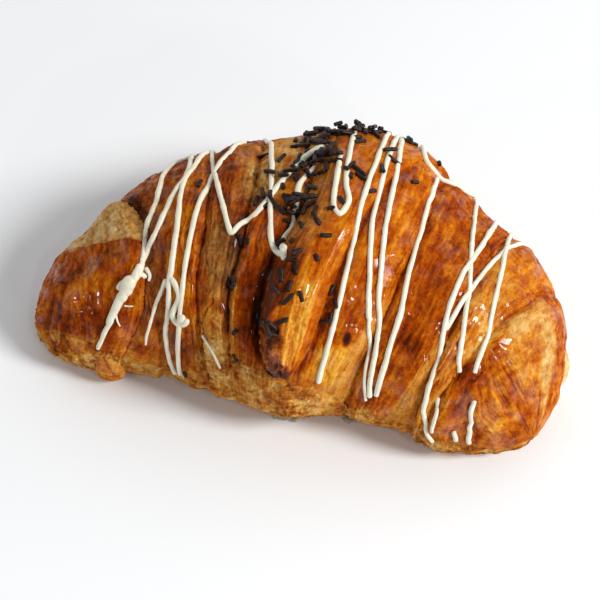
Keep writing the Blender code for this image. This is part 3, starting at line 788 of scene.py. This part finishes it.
def roll_relief(dough):
    """How far each point of the roll stands out, in mm, how that changes its browning, and painted
    shade in its creases.
    """
    points, home, arc = dough.points, dough.home, dough.arc
    glazed = 1 - dough.flaky
    soft = 0.5 * layered(points / 11.0, 2, 41) + 0.26 * layered(points / 4.2, 2, 43)
    warp = 0.8 * noise_at(points / 7.0, 46)
    folds = layered(stacked(home / 3.6 + warp, arc / 24, dough.wrap * 3.3), 3, 47)
    lines = ridged(stacked(home / 3.0 + warp, arc / 22, dough.wrap * 5.1), 2, 48)
    sharp = np.clip((lines - 0.72) / 0.28, 0, 1) ** 2
    crinkle = 0.15 * layered(points / 1.5, 2, 49)
    near, number = cells(points / 4.5, 61)
    blister = glazed * np.where(number > 0.6, 0.40 * eased(1 - near / 0.30), 0.0)
    dough.tone = dough.tone - 0.08 * folds + 0.10 * sharp * glazed - 0.25 * np.minimum(blister, 0.3)
    # Painted shade: the crust is darkened at the foot of each crease, where shade falls.
    painted_crease_shade = np.clip(dough.step - 0.35, 0, 0.7) * np.where(dough.angle < 140, 1, 0.6)
    dough.tone = dough.tone + 0.20 * painted_crease_shade * crease_share(dough.angle)
    dough.gloss = dough.gloss * (1 - 0.8 * np.clip(dough.step - 0.4, 0, 1))
    wrinkles = layered(stacked(dough.along / 9 + warp, arc / 3.4, dough.wrap), 2, 50)
    relief = soft + glazed * (0.42 * folds - 0.42 * sharp) + crinkle + blister
    relief = relief + 0.7 * behind_ear(dough) * wrinkles
    return relief + laminations(dough) + flakes(dough) + creases(dough) - 0.1


def fan_relief(dough):
    """The folds that fan out over the right end from the crease at its top."""
    across, up = dough.along - 69, (dough.angle - 74) * 0.60
    turn, reach = np.arctan2(up, across), np.hypot(across, up)
    turn = turn + 0.10 * noise_at(dough.points / 7.0, 75)
    shown = (dough.wrap == RIGHT_END) * eased((reach - 3) / 12)
    shown = shown * eased((dough.angle + 30) / 30) * eased((100 - dough.angle) / 30)
    shown = shown * eased((90 - dough.along) / 8)
    fold = layered(stacked(turn * 4.6, reach / 40), 2, 71)
    fine = ridged(stacked(turn * 11.0, reach / 16), 2, 73) - 0.5
    near, number = cells(dough.points / 3.2, 79)
    pore = np.where(number > 0.55, eased(1 - near / 0.34), 0.0)
    dough.tone = dough.tone - shown * (0.22 * fold + 0.16 * fine + 0.16 * pore)
    return shown * (1.3 * fold + 0.6 * fine + 0.3 * pore)


def valley(dough):
    """The groove on each side of the tip of the roll: relief in mm, with painted shade darkening
    the dough in it.
    """
    left, right = (curved(TONGUE, np.clip(dough.angle, 20, 150), k) for k in (1, 2))
    on_middle = dough.wrap == MIDDLE_WRAP
    beside_left = np.exp(-(((dough.along - left + 1.6) / 2.4) ** 2)) * between(dough, 24, 84, 16)
    beside_right = np.exp(-(((dough.along - right - 1.0) / 2.0) ** 2)) * between(dough, 22, 120, 14)
    # Painted shade: the dough in the grooves is darkened, more in the left one.
    dough.tone = dough.tone + on_middle * (0.30 * beside_left + 0.12 * beside_right)
    dough.warm = dough.warm - on_middle * 0.3 * beside_left
    return on_middle * -(1.8 * beside_left + 0.8 * beside_right)


def finish_points(points):
    """Points in metres, kept inside the solid's box."""
    low, high = (np.array(corner) for corner in cad_box)
    margin = BOX_MARGIN * MM
    return np.clip(points * MM, low + margin, high - margin)


def mesh_object(name, points, faces, attributes, material):
    """An object of those points and faces, shaded smooth, with values at its points."""
    mesh = bpy.data.meshes.new(name)
    mesh.from_pydata(finish_points(points).tolist(), [], faces)
    for key, values in attributes.items():
        kind = "FLOAT_VECTOR" if values.ndim == 2 else "FLOAT"
        field = "vector" if values.ndim == 2 else "value"
        made = mesh.attributes.new(key, kind, "POINT")
        made.data.foreach_set(field, values.astype(np.float32).ravel())
    mesh.validate()
    mesh.shade_smooth()
    mesh.materials.append(material)
    return added(name, mesh)


def added(name, data):
    """A new object of that data, in the scene."""
    made = bpy.data.objects.new(name, data)
    bpy.context.scene.collection.objects.link(made)
    return made


def grid_faces(rows, columns):
    """Faces between the rings of a grid that closes on itself, and a fan at each end."""
    number = np.arange(rows * columns).reshape(rows, columns)
    right = np.roll(number, -1, axis=1)
    quads = np.stack((number[:-1], right[:-1], right[1:], number[1:]), axis=-1).reshape(-1, 4)
    first, last = rows * columns, rows * columns + 1
    start = [(first, int(b), int(a)) for a, b in zip(number[0], right[0])]
    end = [(last, int(a), int(b)) for a, b in zip(number[-1], right[-1])]
    return quads.tolist() + start + end


def with_ends(grid):
    """A grid's values in one list, then the mean of its first ring and that of its last."""
    flat = grid.reshape(-1, *grid.shape[2:])
    return np.concatenate((flat, (grid[0].mean(axis=0), grid[-1].mean(axis=0))))


def closed_piece(name, points, attributes, material):
    """A closed object through rings of equally many points, under its smooth glaze."""
    flat = {key: with_ends(values) for key, values in attributes.items()}
    flat["glaze"] = glaze_directions(points)
    made = mesh_object(name, with_ends(points), grid_faces(*points.shape[:2]), flat, material)
    face_outwards(made)
    return made


def mesh_points(mesh):
    """The mesh's points, in metres."""
    points = np.empty(len(mesh.vertices) * 3, np.float32)
    mesh.vertices.foreach_get("co", points)
    return points.reshape(-1, 3)


def face_outwards(made):
    """Turns the faces round if the closed mesh's volume comes out negative."""
    mesh = made.data
    mesh.calc_loop_triangles()
    corners = np.empty(len(mesh.loop_triangles) * 3, np.int32)
    mesh.loop_triangles.foreach_get("vertices", corners)
    a, b, c = mesh_points(mesh).astype(float)[corners.reshape(-1, 3).T]
    if (a * np.cross(b, c)).sum() < 0:
        mesh.flip_normals()


def bell(reach):
    """The weights of a value and of that many neighbours on each side, 1 in all."""
    weights = np.hanning(2 * reach + 3)[1:-1]
    return weights / weights.sum()


def smoothed(values, reach):
    """The values with each one averaged over its neighbours, and the ends kept."""
    padded = np.pad(values, ((reach, reach), (0, 0)), mode="edge")
    return np.stack([np.convolve(padded[:, k], bell(reach), "valid") for k in range(3)], axis=-1)


def evened(points, reach):
    """A grid of points with each one averaged over its neighbours, its rows closed."""
    weights = bell(reach)
    shifts = range(-reach, reach + 1)
    across = sum(weight * np.roll(points, shift, axis=1) for shift, weight in zip(shifts, weights))
    padded = np.pad(across, ((reach, reach), (0, 0), (0, 0)), mode="edge")
    return sum(weight * padded[k : k + len(points)] for k, weight in enumerate(weights))


def glaze_directions(points):
    """The outward direction of the smooth glaze at each point of a grid and at its two ends."""
    start = points[0].mean(axis=0) - points[2].mean(axis=0)
    end = points[-1].mean(axis=0) - points[-3].mean(axis=0)
    ends = [outward / np.linalg.norm(outward) for outward in (start, end)]
    return np.concatenate((grid_normals(evened(points, GLAZE_REACH)).reshape(-1, 3), ends))


def dough_attributes(dough):
    """What the crust's material reads at each point."""
    names = {"bake_and_shade": "tone", "warm": "warm", "gloss": "gloss", "flaky": "flaky", "pools": "pools"}
    values = {key: np.clip(getattr(dough, name), 0, 1) for key, name in names.items()}
    values["grain"] = stacked(dough.home, dough.arc, dough.home * 0)
    return values


def roll_piece(wrap, material):
    """One wrap of the roll with all its relief."""
    dough = roll_surface(wrap_rows(wrap))
    describe(dough)
    relief = roll_relief(dough) + fan_relief(dough) + valley(dough)
    relief = relief * eased((dough.points[..., 2] + 0.5) / FLOOR_CALMS)
    points = dough.points + dough.normals * relief[..., None]
    grounded = dough.points[..., 2] <= 0
    points[..., 2] = np.where(grounded, 0.0, np.maximum(points[..., 2], 0.0))
    return closed_piece(WRAP_NAMES[wrap], points, dough_attributes(dough), material)


def tongue_top(angles):
    """The wall and the top of the tip of the roll, as rings at those angles.

    A ring's face runs from -1 at the foot of the wall, by 0 at its top, to 1 at the right edge.
    """
    wall_part = np.linspace(0, 1, TONGUE_POINTS[0], endpoint=False)
    top_part = np.linspace(0, 1, TONGUE_POINTS[1])
    left, right, rise, wall = (curved(TONGUE, angles, k)[:, None] for k in (1, 2, 3, 4))
    shares = np.concatenate((wall_part * wall, wall + (1 - wall) * top_part), axis=1)
    along = blend(left, right, shares)
    profile = (np.interp(wall_part, *zip(*TONGUE_WALL)), np.interp(top_part, *zip(*TONGUE_TOP)))
    height = rise * np.concatenate(profile)
    face = np.broadcast_to(np.concatenate((wall_part - 1, top_part)), along.shape)
    notch = 3.0 * np.exp(-(((face - 0.40) / 0.10) ** 2))
    torn = notch + 1.2 * noise_at(stacked(face * 6, face * 0), 81)
    angle = np.broadcast_to(angles[:, None], along.shape)
    angle = angle + torn * eased(1 - (angle - angles[0]) / TONGUE_TIP)
    size = 1.0 + SWELL[MIDDLE_WRAP] + lumps(along, angle)
    fades_from, fades_over, fades_by = TONGUE_FADES
    points = place(along, angle, size, height - fades_by * eased((angle - fades_from) / fades_over))
    return {"along": along, "angle": angle, "home": shares, "face": face, "height": height,
            "points": points}


def tongue_under(angles):
    """The underside of the tip of the roll, sunk in the dough below."""
    left, right = (curved(TONGUE, angles, k)[:, None] for k in (1, 2))
    shares = np.linspace(0.97, 0.03, TONGUE_POINTS[2])
    along = blend(left, right, shares)
    angle = np.broadcast_to(angles[:, None], along.shape)
    points = place(along, angle, 1.0 + SWELL[MIDDLE_WRAP], -TONGUE_SUNK)
    home, none = np.broadcast_to(shares, along.shape), along * 0
    return {"along": along, "angle": angle, "home": home, "face": none + 2, "height": none,
            "points": points}


def tongue_surface():
    """The tip of the roll, laid over the middle, as rings from its tip to under the back."""
    start, end = TONGUE[0][0], TONGUE[-1][0]
    close = np.linspace(start, 60, 130, endpoint=False)
    angles = np.concatenate((close, np.linspace(60, end, 190)))
    top, under = tongue_top(angles), tongue_under(angles)
    grids = {key: np.concatenate((top[key], under[key]), axis=1) for key in top}
    dough = SimpleNamespace(**grids, arc=grids["angle"] * DEGREE)
    dough.home = dough.home * TONGUE_WIDTH
    dough.normals = grid_normals(dough.points)
    dough.blotch = blotches(dough.points)
    dough.streak = layered(stacked(dough.home / 1.6, dough.arc / 18), 3, 87)
    return dough


def tongue_parts(dough):
    """How much each point belongs to the torn wall, to the pale layers and to the tip."""
    edge = dough.face + 0.05 * layered(dough.points / 4.0, 2, 89)
    torn_over = 0.26 * eased((dough.angle - 42) / 10) * eased((112 - dough.angle) / 20)
    wall = eased(0.5 - (edge - torn_over) / 0.12)
    pale = eased((edge - 0.36) / 0.10) * eased((0.88 - edge) / 0.10)
    pale = pale * eased((64 - dough.angle + 6 * dough.blotch) / 12)
    tip_side = 0.44 + 0.5 * eased((29 - dough.angle) / 5)
    tip = eased((43 - dough.angle + 7 * dough.blotch) / 7) * eased((tip_side - edge) / 0.12)
    return wall, pale, tip


def tongue_relief(dough):
    """How far each point of the tip of the roll stands out, in mm, with its browning and glaze, and
    painted shade low on its wall.
    """
    points, face, arc = dough.points, dough.face, dough.arc
    wall, pale, tip = tongue_parts(dough)
    phase = (face + 1) * 3.6 + 0.9 * layered(stacked(arc / 9, face * 2), 3, 83)
    layer = 0.12 * (phase - np.floor(phase) - 0.5) + 0.16 * dough.streak
    folds = layered(stacked(dough.home / 2.6 + arc / 40, arc / 15), 3, 93)
    crag = ridged(points / 2.2, 3, 91) - 0.5
    knobs = layered(points / 3.4, 2, 92)
    # Painted shade: low grows towards the lower, front part of the wall, which is painted darker
    # there as the shadow under the overhang.
    low = eased((72 - dough.angle) / 14)
    burnt = eased((26 - dough.angle + 3 * dough.blotch) / 3) * eased((0.9 - face) / 0.3)
    dough.tone, dough.warm = 0.50, 0.98
    mottle(dough, 0.13, 0.10, 0.07, 0.2)
    dough.tone = blend(dough.tone, 0.54 + layer + 0.32 * low, wall * 0.9)
    dough.tone = blend(dough.tone, 0.36 - 0.34 * folds - 0.12 * crag, pale)
    dough.tone = blend(dough.tone, 0.82 - 0.45 * knobs - 0.26 * crag, tip)
    dough.tone = blend(dough.tone, 0.90, burnt * 0.8)
    dough.warm = blend(dough.warm, 0.45 + 0.3 * low, wall)
    dough.warm = blend(blend(dough.warm, 0.90, pale), 0.65, tip)
    dough.gloss = 0.95 - 0.6 * wall - 0.3 * pale - 0.25 * tip
    dough.flaky = 0.7 * tip + 0.3 * pale
    dough.pools = 0.6 * tip + 0.5 * pale * (1 - tip)
    soft = 0.35 * layered(points / 8.0, 2, 41) + 0.2 * layered(points / 3.5, 2, 43)
    relief = soft + 0.2 * dough.streak + 0.14 * layered(points / 1.5, 2, 49)
    relief = relief + wall * 2.5 * layer + pale * (1.1 * folds + 0.3 * crag)
    return relief + tip * (1.3 * knobs + 0.3 * (crag + 0.5))


def tongue(material):
    """The tip of the roll: torn layers at its left, a glazed top and pale layers at its right."""
    dough = tongue_surface()
    relief = np.where(dough.height > 0, tongue_relief(dough), 0.0)
    points = dough.points + dough.normals * relief[..., None]
    return closed_piece("tongue", points, dough_attributes(dough), material)


def ball_grid(rows, columns):
    """Directions all round a ball, as rings from its bottom to its top."""
    rise = np.radians(np.linspace(-90, 90, rows + 2)[1:-1, None])
    turn = np.radians(np.linspace(0, 360, columns, endpoint=False))
    level = np.cos(rise)
    return stacked(level * np.cos(turn), level * np.sin(turn), np.sin(rise))


def turned_about(points, degrees):
    """Points turned about the vertical."""
    spin = math.radians(degrees)
    x = points[..., 0] * math.cos(spin) - points[..., 1] * math.sin(spin)
    y = points[..., 0] * math.sin(spin) + points[..., 1] * math.cos(spin)
    return np.stack((x, y, points[..., 2]), axis=-1)


def bulb(name, material):
    """A rounded swelling of dough that is cut flat by the floor, with one fold across it."""
    centre, half_sizes, turn, tone, warm, gloss, groove = BULBS[name]
    unit = ball_grid(*BULB_POINTS)
    points = turned_about(unit * half_sizes, turn) + centre - (*MIDDLE, 0)
    blotch = blotches(points * 2)
    fold = unit[..., 0] * 0.8 + unit[..., 2] * 0.6 - groove + 0.08 * layered(points / 4.0, 2, 97)
    mark = np.exp(-((fold / 0.07) ** 2))
    wrinkles = layered(points / (5.0, 5.0, 1.6), 3, 95)
    relief = 0.7 * wrinkles + 0.2 * layered(points / 1.8, 2, 96) - 0.4 * mark - 0.2
    points = points + grid_normals(points) * (relief - 0.1)[..., None]
    points[..., 2] = np.maximum(points[..., 2], 0.0)
    beyond = eased(fold / 0.2)
    dough = SimpleNamespace(
        tone=tone + 0.24 * blotch - 0.16 * wrinkles - 0.08 * beyond * (1 - mark) + 0.12 * mark,
        warm=warm - 0.15 * beyond,
        gloss=np.full(unit.shape[:2], gloss),
        flaky=np.full(unit.shape[:2], 0.1),
        pools=np.zeros(unit.shape[:2]),
        home=points[..., 0],
        arc=points[..., 2],
    )
    return closed_piece(name, points, dough_attributes(dough), material)


def surface_of(objects):
    """What a strand or a sprinkle can be laid on, in metres."""
    points, faces, start = [], [], 0
    for piece in objects:
        points += mesh_points(piece.data).tolist()
        faces += [[start + k for k in face.vertices] for face in piece.data.polygons]
        start = len(points)
    return BVHTree.FromPolygons(points, faces)


def laid(surface, along, angle, lift):
    """Where the surface lies at that place, lifted by some mm, and its outward direction."""
    outside, inside = (Vector(place(along, angle, size) * MM) for size in (1.5, 0.4))
    spot, normal, _, _ = surface.ray_cast(outside, inside - outside)
    return spot + normal * lift * MM, normal


def along_strand(route):
    """Evenly spaced places on a smooth line through the strand's own."""
    steps = [math.hypot(b[0] - a[0], (b[1] - a[1]) * DEGREE) for a, b in zip(route, route[1:])]
    run = np.concatenate(([0.0], np.cumsum(steps)))
    rows = [(at, *spot) for at, spot in zip(run, route)]
    marks = np.linspace(0, run[-1], max(6, round(run[-1] / STRAND_STEP)))
    return marks, curved(rows, marks, 1), curved(rows, marks, 2)


def strand_line(surface, number, route):
    """How far a strand has run at each ring, where it lies, and the dough's direction there."""
    marks, along, angle = along_strand(route)
    along = along + 0.25 * layered(stacked(marks / 6.0, marks * 0 + number * 5.1), 2, 103)
    places = [laid(surface, *spot, 0.0) for spot in zip(along, angle)]
    spots = np.array([spot / MM for spot, _ in places])
    normals = np.array([normal for _, normal in places])
    reach = min(STRAND_STIFFNESS, (len(spots) - 1) // 2)
    return marks, smoothed(spots, reach), smoothed(normals, reach * 2 if reach > 2 else reach)


def strand_tube(surface, number, start_width, end_width, route):
    """The rings of one drizzled strand, which is rounded at both ends."""
    marks, spots, normals = strand_line(surface, number, route)
    total = marks[-1]
    width = blend(start_width, end_width, marks / total)
    width = width * (1 + 0.26 * layered(stacked(marks / 5.0, marks * 0 + number * 3.7), 3, 101))
    radius = width / 2
    tail = np.minimum(marks, total - marks)
    radius = radius * np.sqrt(np.clip(1 - (1 - np.minimum(tail / (radius * 1.8), 1)) ** 2, 0.02, 1))
    heading = np.gradient(spots, axis=0)
    heading /= np.linalg.norm(heading, axis=1, keepdims=True)
    side = np.cross(normals, heading)
    side /= np.linalg.norm(side, axis=1, keepdims=True)
    up = np.cross(heading, side)
    centre = spots + up * (width * STRAND_LIFT)[:, None]
    turn = np.linspace(0, 2 * math.pi, STRAND_SIDES, endpoint=False)
    breadth, height = STRAND_FLATNESS
    ring = side[:, None] * np.cos(turn)[None, :, None] * breadth
    ring = ring + up[:, None] * np.sin(turn)[None, :, None] * height
    return centre[:, None] + ring * radius[:, None, None]


def join_tubes(name, tubes, material):
    """One object of many closed tubes, each with its own number at its points."""
    points, faces, values, start = [], [], [], 0
    for tube, value in tubes:
        flat = with_ends(tube)
        faces += [tuple(start + k for k in face) for face in grid_faces(*tube.shape[:2])]
        points.append(flat)
        values.append(np.full(len(flat), value))
        start += len(flat)
    batch = {"batch": np.concatenate(values)}
    made = mesh_object(name, np.concatenate(points), faces, batch, material)
    face_outwards(made)
    return made


def strands(surface, material):
    """All the white chocolate strands."""
    tubes = [(strand_tube(surface, k, *row), k / len(STRANDS)) for k, row in enumerate(STRANDS)]
    return join_tubes("strands", tubes, material)


def fallen(draw, falls):
    """Where each sprinkle of these falls lies."""
    places = []
    for along, angle, spread_along, spread_angle, count in falls:
        for _ in range(count):
            places.append((draw.gauss(along, spread_along), draw.gauss(angle, spread_angle)))
    return places


def sprinkle_rod(spot, heading, normal, length, bend):
    """One sprinkle: a short rod with blunt, slightly rounded ends."""
    radius = SPRINKLE_WIDTH / 2
    turn = np.linspace(0, 2 * math.pi, SPRINKLE_SIDES, endpoint=False)
    heading, up = np.array(heading), np.array(normal)
    side = np.cross(up, heading)
    rings = []
    for share, wide in SPRINKLE_PROFILE:
        sag = bend * (1 - (2 * share - 1) ** 2)
        middle = spot + heading * (share - 0.5) * length + side * sag
        ring = side * np.cos(turn)[:, None] + up * np.sin(turn)[:, None]
        rings.append(middle + ring * radius * wide)
    return np.array(rings)


def sprinkles(surface, material):
    """All the sprinkles, each lying flat on what is under it."""
    draw, extra = random.Random(SEED), random.Random(SEED + 1)
    places = [(at, draw) for at in (*STRAY_SPRINKLES, *fallen(draw, SPRINKLE_FALLS))]
    places += [(at, extra) for at in fallen(extra, MORE_SPRINKLES)]
    lying, tubes = [], []
    for (along, angle), chance in places:
        spot, normal = laid(surface, along, angle, SPRINKLE_WIDTH / 2 - SPRINKLE_SUNK)
        below = sum((spot - other).length < NEAR * SPRINKLE_WIDTH * MM for other in lying)
        spot += normal * HEAPED * min(below, HEAP_LIMIT) * MM
        lying.append(spot)
        turned = Matrix.Rotation(chance.uniform(0, math.pi), 4, normal)
        level = turned @ normal.orthogonal().normalized()
        length = blend(*SPRINKLE_LENGTHS, chance.random())
        bend = SPRINKLE_BEND * math.sin(len(lying) * 2.4)
        rod = sprinkle_rod(np.array(spot) / MM, level, normal, length, bend)
        tubes.append((rod, len(lying) % BATCHES / BATCHES))
    return join_tubes("sprinkles", tubes, material)


def syrup(material):
    """Clear beads of syrup that ran down the front."""
    beads = []
    for number, (x, y, half_sizes) in enumerate(SYRUP_BEADS):
        points = ball_grid(16, 24) * np.array(half_sizes)
        points = points * (1 + 0.15 * noise_at(points / 1.5 + number * 3, 111))[..., None]
        points = points + (x, y, half_sizes[2] * 0.7)
        points[..., 2] = np.maximum(points[..., 2], 0.05)
        beads.append((points, number / len(SYRUP_BEADS)))
    return join_tubes("syrup", beads, material)


def light_value(channel):
    """A colour channel as light, from its sRGB value of 0 to 255."""
    channel = channel / 255
    return channel / 12.92 if channel <= 0.04045 else ((channel + 0.055) / 1.055) ** 2.4


def colour(red, green, blue):
    """A colour for a socket, from its sRGB channels."""
    return (light_value(red), light_value(green), light_value(blue), 1.0)


def new_material(name):
    """A material, its node tree, its shader and the coordinates on the object."""
    material = bpy.data.materials.new(name)
    material.use_nodes = True
    tree = material.node_tree
    where = node(tree, "ShaderNodeTexCoord").outputs["Object"]
    return material, tree, tree.nodes["Principled BSDF"], where


def fill(made, inputs):
    """Sets a node's inputs, or links them where a socket is given."""
    for key, value in inputs.items():
        if isinstance(value, bpy.types.NodeSocket):
            made.id_data.links.new(value, made.inputs[key])
        else:
            made.inputs[key].default_value = value


def node(tree, kind, inputs=None, **settings):
    """A new node with those inputs and settings."""
    made = tree.nodes.new(kind)
    for key, value in settings.items():
        setattr(made, key, value)
    fill(made, inputs or {})
    return made


def maths(tree, operation, first, second, third=0.0):
    """The result of a sum on two or three values or sockets."""
    made = node(tree, "ShaderNodeMath", {0: first, 1: second, 2: third}, operation=operation)
    return made.outputs[0]


def varied(tree, value, texture, amount):
    """The value, moved up and down by a texture whose middle is a half."""
    shifted = maths(tree, "MULTIPLY_ADD", texture, amount, -amount / 2)
    return maths(tree, "ADD", value, shifted)


def noise_texture(tree, where, scale, detail=4.0, roughness=0.55, stretch=(1, 1, 1)):
    """Noise from 0 to 1 at those coordinates, drawn out along an axis if wanted."""
    mapped = node(tree, "ShaderNodeMapping", {"Vector": where, "Scale": stretch})
    values = {"Vector": mapped.outputs[0], "Scale": scale, "Detail": detail, "Roughness": roughness}
    return node(tree, "ShaderNodeTexNoise", values).outputs["Fac"]


def ramp(tree, value, stops):
    """Colours along a value, as (position, sRGB channels) stops."""
    made = node(tree, "ShaderNodeValToRGB", {"Fac": value})
    elements = made.color_ramp.elements
    while len(elements) < len(stops):
        elements.new(0.5)
    for element, (position, channels) in zip(elements, stops):
        element.position = position
        element.color = colour(*channels)
    return made.outputs["Color"]


def attribute(tree, name, output="Fac"):
    """A value that the mesh holds at each point."""
    return node(tree, "ShaderNodeAttribute", attribute_name=name).outputs[output]


def bumps(tree, layers):
    """Bump nodes one after the other, each for a (height, strength, distance) layer."""
    last = None
    for height, strength, distance in layers:
        values = {"Height": height, "Strength": strength, "Distance": distance}
        if last is not None:
            values["Normal"] = last
        last = node(tree, "ShaderNodeBump", values).outputs[0]
    return last


def wetness(tree, where, gloss):
    """How thickly the glaze lies: in patches, and most of all in its pools."""
    pool = noise_texture(tree, where, *WET)
    pool = maths(tree, "MULTIPLY_ADD", attribute(tree, "pools"), POOL_DRAWS, pool)
    limits = {"Value": pool, **WET_RANGE}
    wet = node(tree, "ShaderNodeMapRange", limits, interpolation_type="SMOOTHSTEP").outputs[0]
    return maths(tree, "MULTIPLY", gloss, wet)


def crust_material():
    """Baked dough: browned unevenly, orange where it is glazed and duller where it is bare."""
    material, tree, shader, where = new_material("crust")
    bake_and_shade, warm, gloss, flaky = (attribute(tree, key) for key in ("bake_and_shade", "warm", "gloss", "flaky"))
    grain = attribute(tree, "grain", "Vector")
    cloud, fine = (noise_texture(tree, where, *row) for row in (CLOUD, FINE))
    streaks = noise_texture(tree, grain, *STREAKS, STREAK_STRETCH)
    # The browning read from the mesh also holds painted shade in the creases, the grooves and low
    # on the tongue's wall, and a painted milky sheen on a few patches.
    browning_and_shade = bake_and_shade
    for texture, amount in ((cloud, CLOUD_BROWNS), (streaks, STREAKS_BROWN), (fine, FINE_BROWNS)):
        browning_and_shade = varied(tree, browning_and_shade, texture, amount)
    dull, glazed = (ramp(tree, browning_and_shade, stops) for stops in (DULL_COLOURS, GLAZED_COLOURS))
    mixed = node(tree, "ShaderNodeMix", {0: warm, 6: dull, 7: glazed}, data_type="RGBA")
    rough = maths(tree, "MULTIPLY_ADD", gloss, -0.2, 0.8)
    fill(shader, {
        "Base Color": mixed.outputs[2],
        "Roughness": varied(tree, rough, fine, 0.2),
        "Coat Weight": wetness(tree, where, gloss),
        "Coat Roughness": 0.08,
        "Specular IOR Level": 0.01,
    })
    crumbly = maths(tree, "MULTIPLY_ADD", flaky, 0.8, 0.4)
    rough_height = maths(tree, "MULTIPLY", fine, crumbly)
    layers = ((streaks, 0.3, 0.0006), (cloud, 0.5, 0.0008), (rough_height, 0.8, 0.0007))
    normal = bumps(tree, layers)
    smooth = attribute(tree, "glaze", "Vector")
    glaze = node(tree, "ShaderNodeVectorMath", {0: smooth}, operation="NORMALIZE").outputs[0]
    fill(shader, {"Normal": normal, "Coat Normal": glaze})
    return material


def chocolate_material(name, pale, deep, roughness, specular, scale, bump):
    """Set chocolate: a faint mottle and a softly uneven surface."""
    material, tree, shader, where = new_material(name)
    batch = attribute(tree, "batch")
    patchy = noise_texture(tree, where, scale, 3, 0.5)
    shade = varied(tree, patchy, batch, 0.3)
    fill(shader, {
        "Base Color": ramp(tree, shade, ((0.2, deep), (0.8, pale))),
        "Roughness": varied(tree, roughness, patchy, 0.2),
        "Specular IOR Level": specular,
    })
    fine = noise_texture(tree, where, scale * 4, 3, 0.5)
    layers = ((patchy, bump, 0.0005), (fine, bump, 0.0002))
    fill(shader, {"Normal": bumps(tree, layers)})
    return material


def syrup_material():
    """Clear, faintly amber syrup."""
    material, tree, shader, where = new_material("syrup")
    cloud = noise_texture(tree, where, 500, 2, 0.5)
    fill(shader, {
        "Base Color": ramp(tree, cloud, ((0.2, (206, 186, 150)), (0.8, (230, 216, 188)))),
        "Roughness": varied(tree, 0.12, cloud, 0.08),
        "Transmission Weight": 0.6,
        "Normal": bumps(tree, ((cloud, 0.2, 0.0003),)),
    })
    return material


def floor_material():
    """A plain pale surface."""
    material, tree, shader, where = new_material("floor")
    cloud = noise_texture(tree, where, 3.0, 2, 0.5)
    fill(shader, {
        "Base Color": ramp(tree, cloud, ((0.3, (243, 245, 247)), (0.7, (246, 248, 250)))),
        "Roughness": 0.9,
        "Specular IOR Level": 0.0,
    })
    return material


def floor():
    """The floor under everything."""
    mesh = bpy.data.meshes.new("floor")
    corners = [(FLOOR_SIZE * x, FLOOR_SIZE * y, 0) for x, y in ((-1, -1), (1, -1), (1, 1), (-1, 1))]
    mesh.from_pydata(corners, [], [(0, 1, 2, 3)])
    mesh.materials.append(floor_material())
    made = added("floor", mesh)
    made.location.z = cad_box[0].z - FLOOR_GAP


def set_up(made, place_at, heading):
    """Puts a lamp or the camera there, facing that way."""
    made.location = place_at
    made.rotation_mode = "QUATERNION"
    made.rotation_quaternion = heading.to_track_quat("-Z", "Y")


def area_light(name, place_at, size, power, tint):
    """A soft lamp of that size that faces the croissant."""
    lamp = bpy.data.lights.new(name, "AREA")
    lamp.shape = "DISK"
    lamp.size = size
    lamp.energy = power
    lamp.color = tint
    set_up(added(name, lamp), place_at, Vector(LAMPS_AIM) - Vector(place_at))


def studio():
    """White surroundings that are dim above the front."""
    world = bpy.data.worlds.new("studio")
    world.use_nodes = True
    tree = world.node_tree
    direction = node(tree, "ShaderNodeTexCoord").outputs["Generated"]
    values = {0: direction, 1: DIM_TOWARDS}
    facing = node(tree, "ShaderNodeVectorMath", values, operation="DOT_PRODUCT").outputs["Value"]
    values = {"Value": facing, **DIM_RANGE}
    shade = node(tree, "ShaderNodeMapRange", values, interpolation_type="SMOOTHSTEP")
    fill(tree.nodes["Background"], {"Color": SKY_TINT, "Strength": shade.outputs[0]})
    bpy.context.scene.world = world


def lights():
    """Bright, even studio light, strongest from the right, and small lamps for the glints."""
    studio()
    area_light("key", KEY_PLACE, KEY_SIZE, KEY_POWER, KEY_TINT)
    for number, (place_at, power) in enumerate(GLINTS):
        area_light(f"glint_{number}", place_at, GLINT_SIZE, power, GLINT_TINT)
    bpy.context.scene.view_settings.view_transform = "Standard"


def camera():
    """The camera at the photo's viewing angle."""
    turn, rise = math.radians(CAMERA_TURN), math.radians(CAMERA_RISE)
    level = math.cos(rise)
    back = Vector((math.sin(turn) * level, -math.cos(turn) * level, math.sin(rise)))
    right = Vector((math.cos(turn), math.sin(turn), 0))
    up = back.cross(right)
    aim = Vector(CAMERA_AIM) + right * CAMERA_SLIDE[0] + up * CAMERA_SLIDE[1]
    made = added("camera", bpy.data.cameras.new("camera"))
    made.data.sensor_width = SENSOR
    made.data.lens = PIXELS_PER_MM * CAMERA_DISTANCE / MM * SENSOR / FRAME_PIXELS
    set_up(made, aim + back * CAMERA_DISTANCE, -back)
    bpy.context.scene.camera = made


def mount(pieces):
    """Makes the pieces ride on the part and stand for its solid."""
    for piece in pieces:
        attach(piece, "root")
        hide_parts("croissant")


def croissant():
    """Builds every piece of the croissant."""
    crust = crust_material()
    white = chocolate_material("white_chocolate", *WHITE_CHOCOLATE)
    dark = chocolate_material("dark_chocolate", *DARK_CHOCOLATE)
    roll = [roll_piece(wrap, crust) for wrap in range(len(WRAPS))] + [tongue(crust)]
    bulbs = [bulb(name, crust) for name in BULBS]
    drizzle = strands(surface_of(roll), white)
    topped = surface_of([*roll, drizzle])
    mount([*roll, *bulbs, syrup(syrup_material())])
    mount([drizzle])
    mount([sprinkles(topped, dark)])


camera()
lights()
floor()
croissant()
